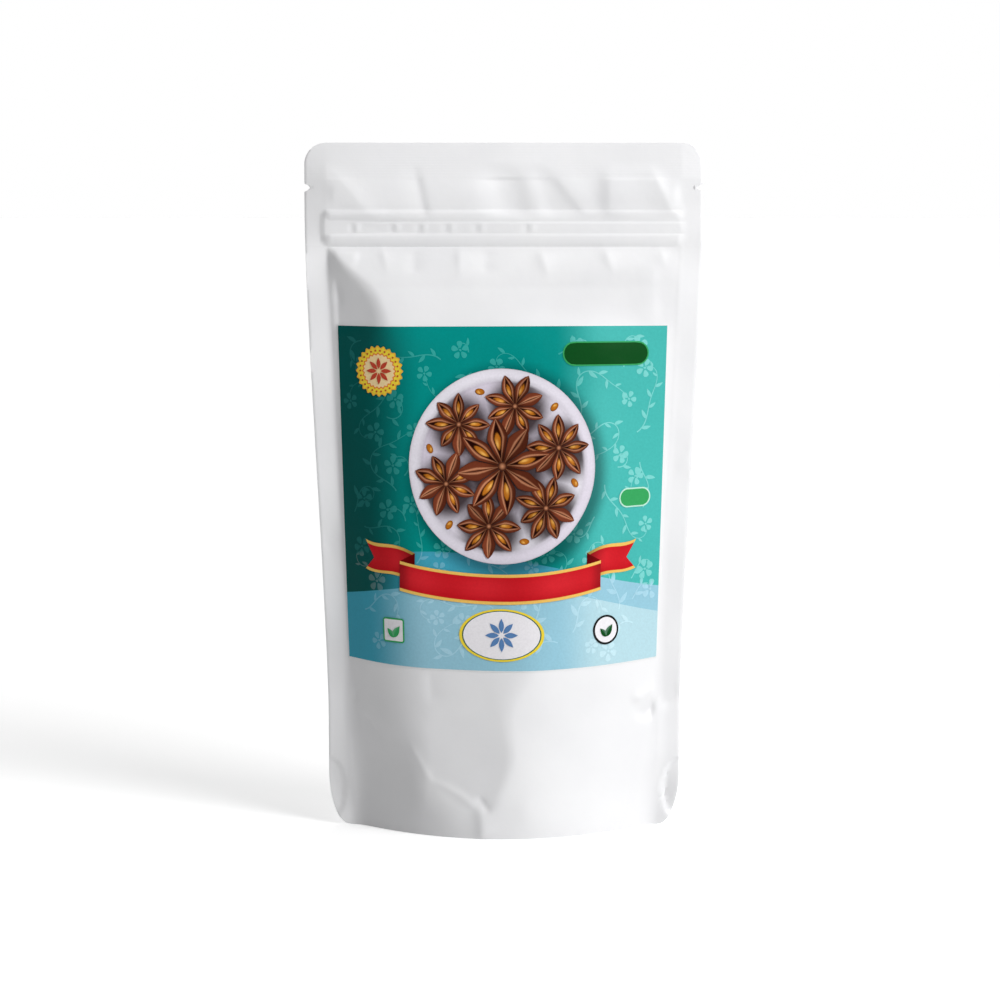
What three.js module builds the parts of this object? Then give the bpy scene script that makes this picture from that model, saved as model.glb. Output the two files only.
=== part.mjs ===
// Stand-up zip pouch, filled and sealed, with a rectangular label stuck on its front panel.
// Millimetres, +Z up. The pouch stands on the rim of its gusseted base at z = 0, its front faces -Y,
// and the origin is the middle of the base.

import * as THREE from "three";

// ---------- driving dimensions ----------

const HEIGHT = 225; // standing height, base rim to top edge
const FLAT_WIDTH = 130; // width across the side seals where the pouch lies flat
const BASE_WIDTH = 116; // width across the side seals near the floor, drawn in by the filling
const DRAW_IN_TOP = 197; // height where the sides start to draw in
const DRAW_IN_BOTTOM = 40; // height where they stop
const DRAW_IN_EASE = 0.4; // share of the draw-in that is eased at both ends, the rest is straight

const SIDE_SEAL = 7; // width of each side seal
const FIN_THICKNESS = 0.9; // thickness of the sealed layers
const BASE_SEAL_EXTRA = 3.2; // how much wider the side seal gets at the floor
const BASE_SEAL_HEIGHT = 34; // height over which it does so

const TOP_CORNER_RADIUS = 7;
const BASE_CORNER_WIDTH = 7.2; // the rounded bottom corner of each side seal
const BASE_CORNER_HEIGHT = 18;

const NOTCH_HEIGHT = 210.4; // tear notch in each side seal
const NOTCH_DEPTH = 1.9;
const NOTCH_GAP = 2.3;
const NOTCH_CLEARANCE = 0.8; // between the notch's root, its column of vertices and the seam

const ZIP_BAND = { low: 198.8, high: 203.2, relief: 0.55 }; // upper rail of the press-to-close zip
const ZIP_BEAD = { low: 191.2, high: 195.8, relief: 1.05 }; // lower, rounder rail
const ZIP_HALF_LENGTH = 58.6;
const ZIP_EDGE = 0.9; // run-out of each rail's edge

const RIM_SHARE = 0.88; // share of the base depth inside the flat rim
const BASE_ARCH = 3.6; // how far the gusset film arches up off the floor

// How each panel is creased: a flat between a left and a right ridge, whose x is given at some
// heights, as [z, x]. round is how much the ridges are rounded, swell how far the slack film stands
// out past what its width gives, and twist how much further out the right ridge stands than the
// left one. bulge is how round the right flank is: 0 is flat, and 1 starts level at the ridge.
// folds are broad soft dents, from one [x, z] to another.
const FRONT = {
  left: [[20, -28], [36, -32], [80, -38], [166, -40], [178, -43], [191, -57]],
  right: [[14, -1], [42, 2], [66, 10], [114, 24], [147, 24], [168, 30], [190, 52]],
  round: [[20, 2], [50, 10], [113, 10], [152, 5], [173, 2]],
  swell: [[152, 0], [174, 2.4], [187, 2.8], [193, 1]],
  twist: [[0, 0], [14, 6.6], [50, 7.6], [70, 6], [120, 2.6], [165, 0]],
  bulge: [[0, 0.7], [48, 0.7], [62, 0.5], [84, 0.1], [160, 0]],
  folds: [
    { from: [-14, 190], to: [-8, 178], width: 5, depth: 0.8 },
    { from: [44, 41], to: [54, 43], width: 3, depth: 0.8 },
  ],
};
const BACK = {
  left: [[0, -12], [30, -22], [100, -34], [172, -42], [191, -55]],
  right: [[0, 8], [30, 18], [100, 30], [172, 36], [191, 54]],
  round: [[0, 4], [48, 10], [191, 4]],
  swell: [[150, 0], [177, 2], [193, 1]],
  twist: [[0, 0], [30, -3], [90, -1.5], [170, 0]],
  bulge: [[0, 0.5], [48, 0.4], [160, 0]],
  folds: [
    { from: [52, 190], to: [38, 166], width: 5, depth: 1.4 },
    { from: [-30, 190], to: [-20, 168], width: 5, depth: 1.1 },
    { from: [-50, 48], to: [-36, 28], width: 5.5, depth: 1.2 },
  ],
};
const ZIP_SHOULDER = 4; // how quickly the film swells out below the zip
const SKIRT_HEIGHT = 28; // where the panels have left the curve of the base rim
const SOLVE_STEPS = 24;
const FOLD_SHARPNESS = 2;
const FOLD_CLEARANCE = 4; // depth of the panel below which its folds get shallower

const LABEL = {
  low: 56,
  high: 165.8,
  halfWidthLow: 51.3,
  halfWidthHigh: 54.2,
  middle: -0.4, // stuck on a little to the left
  sag: 2, // how much lower the middle of its lower edge is than the corners
  thickness: 0.25,
  gap: 0.4, // clearance between the label and the film
};

const PANEL_COLUMNS = 32; // across one panel, seal to seal
const BASE_COLUMNS = 6; // front to back, across the base
const LABEL_COLUMNS = 20;
const LABEL_ROWS = 12;

// ---------- the pouch's form ----------

const { clamp, lerp, smoothstep } = THREE.MathUtils;
const FILM_WIDTH = FLAT_WIDTH - 2 * SIDE_SEAL; // film between the side seals, which never stretches
const PARABOLA_RISE = 3 / 8; // rise^2 of a flat parabola, over its slack and its chord
const PARABOLA_EXTRA = 6; // what divides rise^2 / chord in the extra length of a bulged flank

// Half the width across the side seals at a height, before the corners are rounded.
function sideHalf(z) {
  const drawn = clamp((DRAW_IN_TOP - z) / (DRAW_IN_TOP - DRAW_IN_BOTTOM), 0, 1);
  const eased = lerp(drawn, smoothstep(drawn, 0, 1), DRAW_IN_EASE);
  return lerp(FLAT_WIDTH, BASE_WIDTH, eased) / 2;
}

// Half the width inside the side seals. Each seal widens towards the floor.
function seamHalf(z) {
  const low = clamp(1 - z / BASE_SEAL_HEIGHT, 0, 1);
  return sideHalf(z) - SIDE_SEAL - BASE_SEAL_EXTRA * low * low;
}

// Half the outer width, with the rounded corners.
function outlineHalf(z) {
  const above = Math.max(0, z - (HEIGHT - TOP_CORNER_RADIUS));
  const top = TOP_CORNER_RADIUS - Math.sqrt(Math.max(0, TOP_CORNER_RADIUS ** 2 - above ** 2));
  const below = clamp(1 - z / BASE_CORNER_HEIGHT, 0, 1);
  const bottom = BASE_CORNER_WIDTH * (1 - Math.sqrt(1 - below * below));
  return sideHalf(z) - top - bottom;
}

// How far a side edge is cut in by the tear notch.
function notchCut(z) {
  return NOTCH_DEPTH * Math.max(0, 1 - Math.abs(z - NOTCH_HEIGHT) / (NOTCH_GAP / 2));
}

// A value at a height, from a list of [height, value], with straight runs between them.
function course(knots, z) {
  const after = knots.findIndex(([height]) => height > z);
  if (after === 0) return knots[0][1];
  if (after < 0) return knots[knots.length - 1][1];
  const [lowZ, lowValue] = knots[after - 1];
  const [highZ, highValue] = knots[after];
  return lerp(lowValue, highValue, (z - lowZ) / (highZ - lowZ));
}

// How far the middle facet of a panel stands out: film of fixed width over a shorter chord, taken
// up by two flanks from the seams to the ridges and the flat between the ridges.
function rise(z, left, right, halfTwist, bulge) {
  const seam = seamHalf(z);
  const flat = Math.hypot(right - left, 2 * halfTwist);
  let low = Math.abs(halfTwist);
  let high = FLAT_WIDTH / 2;
  for (let i = 0; i < SOLVE_STEPS; i++) {
    const depth = (low + high) / 2;
    const leftFlank = Math.hypot(seam + left, depth - halfTwist);
    const rightFlank = Math.hypot(seam - right, depth + halfTwist);
    const bulged = (bulge * (depth + halfTwist)) ** 2 / (PARABOLA_EXTRA * (seam - right));
    if (flat + leftFlank + rightFlank + bulged < FILM_WIDTH) low = depth;
    else high = depth;
  }
  return low;
}

// Depth of the base rim on the floor: a parabola as long as the film is wide.
function rimDepth(x) {
  const half = seamHalf(0);
  const middle = Math.sqrt(PARABOLA_RISE * (FILM_WIDTH - 2 * half) * 2 * half);
  return middle * Math.max(0, 1 - (x / half) ** 2);
}

// The lower of two values, with the corner where they cross rounded off.
function softMin(a, b, radius) {
  const near = Math.max(radius - Math.abs(a - b), 0);
  return Math.min(a, b) - (near * near) / (4 * radius);
}

// Depth of the filled part of a panel: three facets, blended into the base rim near the floor.
function filledDepth(x, z, panel) {
  const seam = seamHalf(z);
  const left = course(panel.left, z);
  const right = course(panel.right, z);
  const halfTwist = course(panel.twist, z) / 2;
  const bulge = course(panel.bulge, z);
  const middle = rise(z, left, right, halfTwist, bulge) + course(panel.swell, z);
  const flat = middle + (halfTwist * (2 * x - left - right)) / (right - left);
  const round = course(panel.round, z);
  let depth = softMin(flat, ((middle - halfTwist) * (seam + x)) / (seam + left), round);
  const inward = (seam - x) / (seam - right);
  depth = softMin(depth, (middle + halfTwist) * inward * (1 + bulge * (1 - inward)), round);
  depth = Math.max(0, depth) * (1 - Math.exp(-Math.max(0, ZIP_BEAD.low - z) / ZIP_SHOULDER));
  return lerp(rimDepth(x), depth, smoothstep(z, 0, SKIRT_HEIGHT));
}

// Relief of one zip rail.
function railRelief(rail, x, z) {
  const across = Math.min(z - rail.low, rail.high - z) / ZIP_EDGE;
  const along = (ZIP_HALF_LENGTH - Math.abs(x)) / ZIP_EDGE;
  return rail.relief * clamp(Math.min(across, along), 0, 1);
}

// Depth of one fold at a point of a panel, fading to its sides and ends.
function foldDepth(fold, x, z) {
  const start = new THREE.Vector2(...fold.from);
  const run = new THREE.Vector2(...fold.to).sub(start);
  const point = new THREE.Vector2(x, z).sub(start);
  const along = clamp(point.dot(run) / run.lengthSq(), 0, 1);
  const distance = point.distanceTo(run.clone().multiplyScalar(along));
  return fold.depth * Math.exp(-((distance / fold.width) ** 2) * FOLD_SHARPNESS);
}

// Distance of a panel's surface from the plane of the seals.
function panelDepth(x, z, panel) {
  const filled = filledDepth(x, z, panel);
  const rails = railRelief(ZIP_BAND, x, z) + railRelief(ZIP_BEAD, x, z);
  const folded = panel.folds.reduce((sum, fold) => sum + foldDepth(fold, x, z), 0);
  return FIN_THICKNESS / 2 + rails + Math.max(0, filled - folded * Math.min(1, filled / FOLD_CLEARANCE));
}

// Heights of the rows of vertices: closer where the outline turns, at the notch and at the zip.
function rowHeights() {
  const baseArc = (t) => BASE_CORNER_HEIGHT * (1 - Math.cos((t * Math.PI) / 2));
  const topArc = (t) => HEIGHT - TOP_CORNER_RADIUS * (1 - Math.sin((t * Math.PI) / 2));
  const straight = (low, high) => (t) => lerp(low, high, t);
  const notchLow = NOTCH_HEIGHT - NOTCH_GAP / 2;
  const notchHigh = NOTCH_HEIGHT + NOTCH_GAP / 2;
  const spans = [
    [baseArc, 5],
    [straight(BASE_CORNER_HEIGHT, 60), 6],
    [straight(60, 160), 11],
    [straight(160, ZIP_BEAD.low), 6],
    [straight(ZIP_BEAD.low, ZIP_BEAD.low + ZIP_EDGE), 1],
    [straight(ZIP_BEAD.low + ZIP_EDGE, ZIP_BEAD.high - ZIP_EDGE), 2],
    [straight(ZIP_BEAD.high - ZIP_EDGE, ZIP_BEAD.high), 1],
    [straight(ZIP_BEAD.high, ZIP_BAND.low), 2],
    [straight(ZIP_BAND.low, ZIP_BAND.low + ZIP_EDGE), 1],
    [straight(ZIP_BAND.low + ZIP_EDGE, ZIP_BAND.high - ZIP_EDGE), 1],
    [straight(ZIP_BAND.high - ZIP_EDGE, ZIP_BAND.high), 1],
    [straight(ZIP_BAND.high, notchLow), 2],
    [straight(notchLow, notchHigh), 2],
    [straight(notchHigh, HEIGHT - TOP_CORNER_RADIUS), 2],
    [topArc, 4],
  ];
  const heights = [0];
  for (const [heightAt, count] of spans)
    for (let step = 1; step <= count; step++) heights.push(heightAt(step / count));
  return heights;
}

// The x of a column of vertices: edge, notch root, seam, then even steps across the panel.
function columnX(column, z) {
  const fromEdge = Math.min(column, PANEL_COLUMNS - column);
  const side = column * 2 < PANEL_COLUMNS ? -1 : 1;
  const edge = outlineHalf(z);
  const notchRoot = edge - NOTCH_DEPTH - NOTCH_CLEARANCE;
  const seam = Math.min(seamHalf(z), notchRoot - NOTCH_CLEARANCE);
  if (fromEdge === 0) return side * (edge - notchCut(z));
  if (fromEdge === 1) return side * notchRoot;
  return lerp(-seam, seam, (column - 2) / (PANEL_COLUMNS - 4));
}

// The share of the depth at a column of the base: the rim's two edges, then even steps.
function baseShare(column) {
  if (column === 0) return -1;
  if (column === BASE_COLUMNS) return 1;
  return lerp(-RIM_SHARE, RIM_SHARE, (column - 1) / (BASE_COLUMNS - 2));
}

// A closed box of columns x layers x rows, each vertex moved to the place that placeAt gives it.
function shapedBox(columns, layers, rows, placeAt) {
  const geometry = new THREE.BoxGeometry(columns, layers, rows, columns, layers, rows);
  const position = geometry.getAttribute("position");
  for (let i = 0; i < position.count; i++) {
    const column = Math.round(position.getX(i) + columns / 2);
    const layer = Math.round(position.getY(i) + layers / 2);
    const row = Math.round(position.getZ(i) + rows / 2);
    position.setXYZ(i, ...placeAt(column, layer, row));
  }
  geometry.computeVertexNormals();
  return geometry;
}

function pouchGeometry() {
  const heights = rowHeights();
  return shapedBox(PANEL_COLUMNS, BASE_COLUMNS, heights.length - 1, (column, layer, row) => {
    const z = heights[row];
    const x = columnX(column, z);
    const share = baseShare(layer);
    const depth = panelDepth(x, z, share < 0 ? FRONT : BACK);
    const arched = clamp(1 - (share / RIM_SHARE) ** 2, 0, 1) * clamp(1 - (x / seamHalf(0)) ** 2, 0, 1);
    return [x, share * depth, row === 0 ? BASE_ARCH * arched : z];
  });
}

function labelGeometry() {
  return shapedBox(LABEL_COLUMNS, 1, LABEL_ROWS, (column, layer, row) => {
    const up = row / LABEL_ROWS;
    const across = lerp(-1, 1, column / LABEL_COLUMNS);
    const z = lerp(LABEL.low - LABEL.sag * (1 - across * across), LABEL.high, up);
    const x = LABEL.middle + across * lerp(LABEL.halfWidthLow, LABEL.halfWidthHigh, up);
    const clearance = LABEL.gap + (layer === 0 ? LABEL.thickness : 0);
    return [x, -panelDepth(x, z, FRONT) - clearance, z];
  });
}

// ---------- the object ----------

const film = new THREE.MeshStandardMaterial({ color: 0xeeeef0, roughness: 0.45, metalness: 0 });
const labelPaper = new THREE.MeshStandardMaterial({ color: 0x10988c, roughness: 0.4, metalness: 0 });

const pouch = new THREE.Mesh(pouchGeometry(), film);
pouch.name = "pouch";

const label = new THREE.Mesh(labelGeometry(), labelPaper);
label.name = "label";

const object = new THREE.Group();
object.add(pouch, label);

export default object;
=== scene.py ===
"""Stand-up zip pouch of whole spice: white satin film, filled and shut, with a printed front label.

Sizes are in millimetres unless a name says otherwise, and are turned into metres where a mesh is
written. X runs along the width, the front faces -Y and +Z is up, with the floor at z = 0.
"""

from __future__ import annotations

import logging
import math
from dataclasses import dataclass, field
from enum import Enum
from typing import Callable

import bpy
import numpy as np
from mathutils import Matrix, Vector


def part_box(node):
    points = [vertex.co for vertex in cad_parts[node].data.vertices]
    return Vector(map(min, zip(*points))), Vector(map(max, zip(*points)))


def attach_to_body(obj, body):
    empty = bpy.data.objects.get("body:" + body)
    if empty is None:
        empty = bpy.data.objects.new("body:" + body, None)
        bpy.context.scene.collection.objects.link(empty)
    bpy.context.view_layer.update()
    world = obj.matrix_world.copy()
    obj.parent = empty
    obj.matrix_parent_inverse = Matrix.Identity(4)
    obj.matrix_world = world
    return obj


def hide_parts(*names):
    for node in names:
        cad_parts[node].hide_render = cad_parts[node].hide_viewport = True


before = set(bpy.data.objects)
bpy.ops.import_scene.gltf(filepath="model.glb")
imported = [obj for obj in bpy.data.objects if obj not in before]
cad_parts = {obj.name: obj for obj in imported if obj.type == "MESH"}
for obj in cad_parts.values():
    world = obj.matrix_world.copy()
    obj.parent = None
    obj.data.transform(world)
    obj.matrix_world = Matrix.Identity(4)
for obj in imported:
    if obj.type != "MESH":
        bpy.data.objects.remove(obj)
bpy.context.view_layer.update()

MM = 0.001
BODY = "root"
INK = "ink"
Array = np.ndarray
Piece = bpy.types.Object
Socket = bpy.types.NodeSocket
Colour = tuple[float, float, float]
Pair = tuple[float, float]
Places = tuple[Array, Array]
Outline = Callable[[Array], Array]
Placing = Callable[[Array, Array], Places]
Dye = Callable[[Array, Array], Array]
log = logging.getLogger("pouch")


# ---- small sums


def clamp01(value: Array | float) -> Array | float:
    """Limit a value to the range 0 to 1."""
    return np.clip(value, 0.0, 1.0)


def smooth(value: Array | float) -> Array | float:
    """Ease a value that runs from 0 to 1, flat at both ends and limited to them."""
    t = clamp01(value)
    return t * t * (3.0 - 2.0 * t)


def blend(low: Array | float, high: Array | float, share: Array | float) -> Array | float:
    """Go from low to high by a share."""
    return low + (high - low) * share


def soft_min(a: Array, b: Array, radius: Array | float) -> Array:
    """The smaller of two values, with the corner where they cross rounded off.

    Args:
        a: First values.
        b: Second values.
        radius: How far apart the two may be for the rounding to reach them.

    Returns:
        The rounded minimum.
    """
    near = np.maximum(radius - np.abs(a - b), 0.0)
    return np.minimum(a, b) - near * near / (4.0 * radius)


def soft_max(a: Array, b: Array, radius: Array | float) -> Array:
    """The larger of two values, with the corner where they cross filled in, as in soft_min."""
    return -soft_min(-a, -b, radius)


# ---- folds and film unevenness


@dataclass(frozen=True)
class Fold:
    """A crease or dent that runs over a panel from one point to another.

    Points are (x, z). A positive depth goes into the panel and a negative one stands out. lean moves
    the slope to one flank, bow bends the run sideways, and power is 1 for a sharp crease and 2 for
    a soft dent. The fades are the shares of the run over which its two ends die away.
    """

    start: Pair
    end: Pair
    width: float
    depth: float
    power: float = 1.6
    lean: float = 0.0
    bow: float = 0.0
    fade_in: float = 0.3
    fade_out: float = 0.3

    def relief(self, x: Array, z: Array) -> Array:
        """Depth that the fold takes from the panel.

        Args:
            x: Places across the panel.
            z: Heights.

        Returns:
            The fold's depth at each place.
        """
        run_x, run_z = self.end[0] - self.start[0], self.end[1] - self.start[1]
        length = math.hypot(run_x, run_z)
        along = ((x - self.start[0]) * run_x + (z - self.start[1]) * run_z) / length**2
        across = ((x - self.start[0]) * run_z - (z - self.start[1]) * run_x) / length
        across = across - self.bow * 4.0 * clamp01(along) * (1.0 - clamp01(along))
        reach = self.width * np.where(across > 0.0, 1.0 + self.lean, 1.0 - self.lean)
        fade = smooth(along / self.fade_in) * smooth((1.0 - along) / self.fade_out)
        return self.depth * fade * np.exp(-((np.abs(across) / reach) ** self.power))


def relief_of(folds: tuple[Fold, ...], x: Array, z: Array) -> Array:
    """The depth that several folds take together."""
    return sum((fold.relief(x, z) for fold in folds), np.zeros_like(x))


@dataclass(frozen=True)
class Swing:
    """A slow side to side wave: its height, its radians for each millimetre, and its phase."""

    height: float
    pace: float
    phase: float

    def at(self, run: Array, side: Array | float = 1.0) -> Array:
        """The wave along a run; side is -1 or 1 and turns the phase round."""
        return self.height * np.sin(run * self.pace + side * self.phase)


@dataclass(frozen=True)
class Ripple:
    """Slow unevenness of a film panel: a sum of long waves in seeded directions."""

    seed: int
    height: float
    shortest: float = 16.0
    longest: float = 60.0
    waves: int = 9

    def relief(self, x: Array, z: Array) -> Array:
        """Height of the unevenness.

        Args:
            x: Places across the panel.
            z: Heights.

        Returns:
            The height at each place.
        """
        draw = np.random.default_rng(self.seed)
        total = np.zeros_like(x)
        for _ in range(self.waves):
            length = draw.uniform(self.shortest, self.longest)
            turn, phase = draw.uniform(0.0, math.tau, 2)
            run = (x * math.cos(turn) + z * math.sin(turn)) * math.tau / length
            total += np.sin(run + phase) * length / self.longest
        return self.height * total / math.sqrt(self.waves)


COURSE_GRID = np.arange(-40.0, 262.0)


@dataclass(frozen=True)
class Course:
    """A value that changes with height: given at a few heights, and eased between them."""

    knots: tuple[Pair, ...]
    ease: int = 5

    def at(self, z: Array) -> Array:
        """The eased value.

        Args:
            z: Heights.

        Returns:
            The value at each height.
        """
        reach = 3 * self.ease
        raw = np.pad(np.interp(COURSE_GRID, *zip(*self.knots)), reach, mode="edge")
        bell = np.exp(-0.5 * (np.arange(-reach, reach + 1) / self.ease) ** 2)
        return np.interp(z, COURSE_GRID, np.convolve(raw, bell / bell.sum(), mode="valid"))


@dataclass(frozen=True)
class Facets:
    """How a filled panel is creased: a broad middle facet between two ridges, and a flank past each.

    The ridges run down the panel, and how rounded they are changes with height. swell is how far
    the film stands out past what its width gives, where it is slack. crown is how much the middle
    facet bulges, and twist how much further out its right ridge stands than its left one. bulge is
    how round the right flank is, as a share: 0 is flat, and 1 starts level at the ridge.
    """

    left: Course
    right: Course
    left_round: Course
    right_round: Course
    swell: Course
    crown: Course
    twist: Course
    bulge: Course


class Panel(Enum):
    """The two large panels of the pouch."""

    FRONT = -1
    BACK = 1


# ---- the pouch's form

# how softly the film leaves the side seals, at some heights
SEAM_ROUND = Course(((0.0, 3.6), (24.0, 4.0), (44.0, 1.6), (64.0, 0.6), (150.0, 0.4), (186.0, 0.1)))
# how far the outer edge of each side seal lies back, at some heights
FIN_BACK_LEFT = Course(
    (
        *((12.0, 1.9), (28.0, 0.7), (58.0, 0.5), (74.0, 0.0), (90.0, 0.3), (106.0, 0.1)),
        *((130.0, -0.4), (154.0, -0.8), (186.0, -1.1), (194.0, 0.2), (203.0, 0.7)),
        *((213.0, 1.2), (222.0, 0.6)),
    ),
    ease=3,
)
FIN_BACK_RIGHT = Course(
    (
        *((14.0, 0.3), (32.0, 1.9), (122.0, 1.9), (130.0, 1.5), (188.0, 1.6)),
        *((194.0, 0.5), (203.0, 0.6), (211.0, 0.1)),
    ),
    ease=3,
)
# the slow waves of the side seals and of the header
FIN_SWINGS = (Swing(0.3, 0.055, 1.1), Swing(0.2, 0.17, 2.3))
HEADER_SWINGS = (Swing(0.5, 0.045, 0.6), Swing(0.2, 0.11, -1.2))
# a shallow parabola's depth squared, over its chord and its extra length
PARABOLA = 0.375


@dataclass(frozen=True)
class Rail:
    """One rail of the press-to-close zip, as it shows through the film."""

    low: float
    high: float
    relief: float
    crest: float


@dataclass(frozen=True)
class PouchForm:
    """The form of the filled pouch, from its flat size and how far the filling draws it in."""

    height: float
    flat_width: float
    # the outline and the seals
    base_width: float = 116.0
    draw_in_top: float = 197.0
    draw_in_bottom: float = 40.0
    draw_in_ease: float = 0.4
    side_seal: float = 7.0
    fin: float = 0.5
    fin_wave_rise: float = 16.0
    fin_back_left: Course = FIN_BACK_LEFT
    fin_back_right: Course = FIN_BACK_RIGHT
    base_seal_extra: float = 3.2
    base_seal_height: float = 34.0
    top_corner: float = 7.0
    base_corner_width: float = 7.2
    base_corner_height: float = 18.0
    notch_height: float = 210.4
    notch_depth: float = 1.9
    notch_gap: float = 2.3
    top_seal: float = 11.6
    # the bars pressed into the top seal
    emboss_pitch: float = 0.87
    emboss: float = 0.014
    emboss_ease: Pair = (0.6, 0.5)
    emboss_margin: float = 0.8
    emboss_uneven: tuple[float, float, float] = (0.09, 0.031, 0.4)
    emboss_strength: float = 0.6
    # the zip's rails, the web between them, and its crushed ends
    upper_rail: Rail = Rail(low=198.9, high=203.2, relief=0.5, crest=0.68)
    lower_rail: Rail = Rail(low=191.2, high=195.8, relief=0.62, crest=0.68)
    rail_left: float = 1.1
    rail_crushed: float = 0.6
    web_relief: Pair = (0.2, 0.48)
    web_ease: float = 0.5
    web_dent: float = 0.22
    web_dents: tuple[float, ...] = (-49.9, -36.9, -28.0, -19.0, -9.3, 7.2)
    web_dent_width: float = 0.8
    web_ridge_off: float = 2.0
    web_ridge_width: float = 0.7
    zip_half_length: float = 59.0
    zip_half_height: float = 6.0
    zip_overrun: float = 1.0
    zip_bow: float = 1.2
    zip_end: float = 2.6
    zip_end_ease: Pair = (1.0, 2.8)
    zip_taper: float = 0.45
    zip_taper_from: float = 28.0
    zip_taper_over: float = 28.0
    lump: float = 0.6
    lump_length: float = 22.0
    lump_fade: float = 20.0
    lump_half_height: float = 6.4
    lump_ease: float = 1.6
    # the slack header between the zip and the top seal
    header_rise: float = 0.45
    header_edge: float = 3.4
    header_wide: float = 1.2
    header_waist: float = 0.6
    header_from: float = 192.0
    header_over: float = 14.0
    header_turn: float = 1.7
    header_turn_over: float = 70.0
    header_turn_share: float = 0.1
    zip_lean: float = 1.4
    zip_lean_over: float = 50.0
    seal_lean: float = 1.3
    header_waves: tuple[Fold, ...] = ()
    wave_kept: float = 0.6
    wave_ease: float = 0.6
    wave_reach: float = 6.0
    wave_foot: float = 0.6
    wave_rise: float = 4.4
    # the filled panels, and the skirt that they end in
    facets: dict[Panel, Facets] = field(default_factory=dict)
    halvings: int = 24
    shoulder: float = 4.0
    seam_round: Course = SEAM_ROUND
    skirt_low: float = 8.4
    skirt_high: float = 34.0
    skirt_rise: float = 17.0
    skirt_reach: float = 28.0
    skirt_fade: float = 26.0
    skirt_power: float = 1.6
    skirt_soft_from: float = -6.0
    skirt_soft_over: float = 14.0
    skirt_soft_back: float = 0.6
    base_arch: float = 3.6
    rim_share: float = 0.88
    # folds and unevenness of the film
    folds: dict[Panel, tuple[Fold, ...]] = field(default_factory=dict)
    crumples: tuple[Fold, ...] = ()
    fold_margin: float = 3.0
    fold_slack: Pair = (2.0, 0.8)
    fold_slack_over: float = 2.0
    fold_least: float = 0.25
    ripples: dict[Panel, Ripple] = field(default_factory=dict)
    ripple_depth: float = 8.0
    ripple_rise: float = 20.0
    # the rounded mark in each bottom corner
    punch_height: float = 11.8
    punch_width: float = 5.6
    punch_tall: float = 10.6
    punch_tilt: Pair = (0.35, 1.5)
    punch_step: float = 0.16
    punch_step_over: float = 0.06
    punch_tilt_over: float = 0.12

    def side_half(self, z: Array) -> Array:
        """Half the width over the side seals, before the corners are rounded.

        Args:
            z: Heights.

        Returns:
            The half width at each height.
        """
        drawn = clamp01((self.draw_in_top - z) / (self.draw_in_top - self.draw_in_bottom))
        eased = blend(drawn, smooth(drawn), self.draw_in_ease)
        return blend(self.flat_width, self.base_width, eased) / 2.0

    def seam_half(self, z: Array) -> Array:
        """Half the width inside the side seals, which widen towards the floor."""
        low = clamp01(1.0 - z / self.base_seal_height)
        return self.side_half(z) - self.side_seal - self.base_seal_extra * low * low

    def outline_half(self, z: Array) -> Array:
        """Half the outer width, with the rounded corners.

        Args:
            z: Heights.

        Returns:
            The half width at each height.
        """
        above = np.maximum(z - (self.height - self.top_corner), 0.0)
        top = self.top_corner - np.sqrt(np.maximum(self.top_corner**2 - above**2, 0.0))
        below = clamp01(1.0 - z / self.base_corner_height)
        bottom = self.base_corner_width * (1.0 - np.sqrt(1.0 - below * below))
        return self.side_half(z) - top - bottom

    def notch_cut(self, z: Array) -> Array:
        """How far the tear notch cuts in from the side edge, with a rounded root."""
        share = clamp01(1.0 - np.abs(z - self.notch_height) / (self.notch_gap / 2.0))
        return self.notch_depth * np.sqrt(share)

    def film_width(self) -> float:
        """Width of the film between the side seals, which never stretches."""
        return self.flat_width - 2.0 * self.side_seal

    def rise(self, z: Array, facets: Facets) -> Array:
        """How far the middle facet stands out: film of fixed width over a shorter chord.

        Args:
            z: Heights.
            facets: The panel's creases.

        Returns:
            The depth at which both flanks and the middle facet take up the whole film.
        """
        grid = np.arange(0.0, self.height + 1.0)
        seam = self.seam_half(grid)
        left, right = facets.left.at(grid), facets.right.at(grid)
        half_twist, bulge = facets.twist.at(grid) / 2.0, facets.bulge.at(grid)
        low, high = np.abs(half_twist), np.full_like(grid, self.flat_width / 2.0)
        for _ in range(self.halvings):
            depth = (low + high) / 2.0
            used = np.hypot(right - left, 2.0 * half_twist)
            used = used + np.hypot(seam + left, depth - half_twist)
            used = used + np.hypot(seam - right, depth + half_twist)
            used = used + (bulge * (depth + half_twist)) ** 2 / (6.0 * (seam - right))
            low = np.where(used < self.film_width(), depth, low)
            high = np.where(used < self.film_width(), high, depth)
        return np.interp(z, grid, low + facets.swell.at(grid))

    def rim_depth(self, x: Array) -> Array:
        """Depth of the base's rim on the floor: a parabola as long as the film is wide.

        Args:
            x: Places across the pouch.

        Returns:
            The depth at each place.
        """
        half = float(self.seam_half(np.zeros(1))[0])
        middle = math.sqrt(PARABOLA * (self.film_width() - 2.0 * half) * 2.0 * half)
        return middle * (1.0 - (x / half) ** 2)

    def off_floor(self, x: Array, z: Array, panel: Panel) -> Array:
        """How far the film has gone over from the base's rim to the panel's facets.

        The skirt ends in a crisp crease on the front's left half, and fades out elsewhere.

        Args:
            x: Places across the panel.
            z: Heights.
            panel: Which of the two panels.

        Returns:
            The share, from 0 at the rim to 1 above the skirt.
        """
        bowed = self.skirt_rise * (np.abs(x) / self.skirt_reach) ** 3
        crease = self.skirt_low + self.skirt_high * (1.0 - np.exp(-bowed / self.skirt_high))
        crisp = clamp01(z / crease) ** self.skirt_power
        soft = smooth(z / self.skirt_fade)
        if panel is Panel.BACK:
            return blend(crisp, soft, self.skirt_soft_back)
        return blend(crisp, soft, smooth((x - self.skirt_soft_from) / self.skirt_soft_over))

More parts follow.
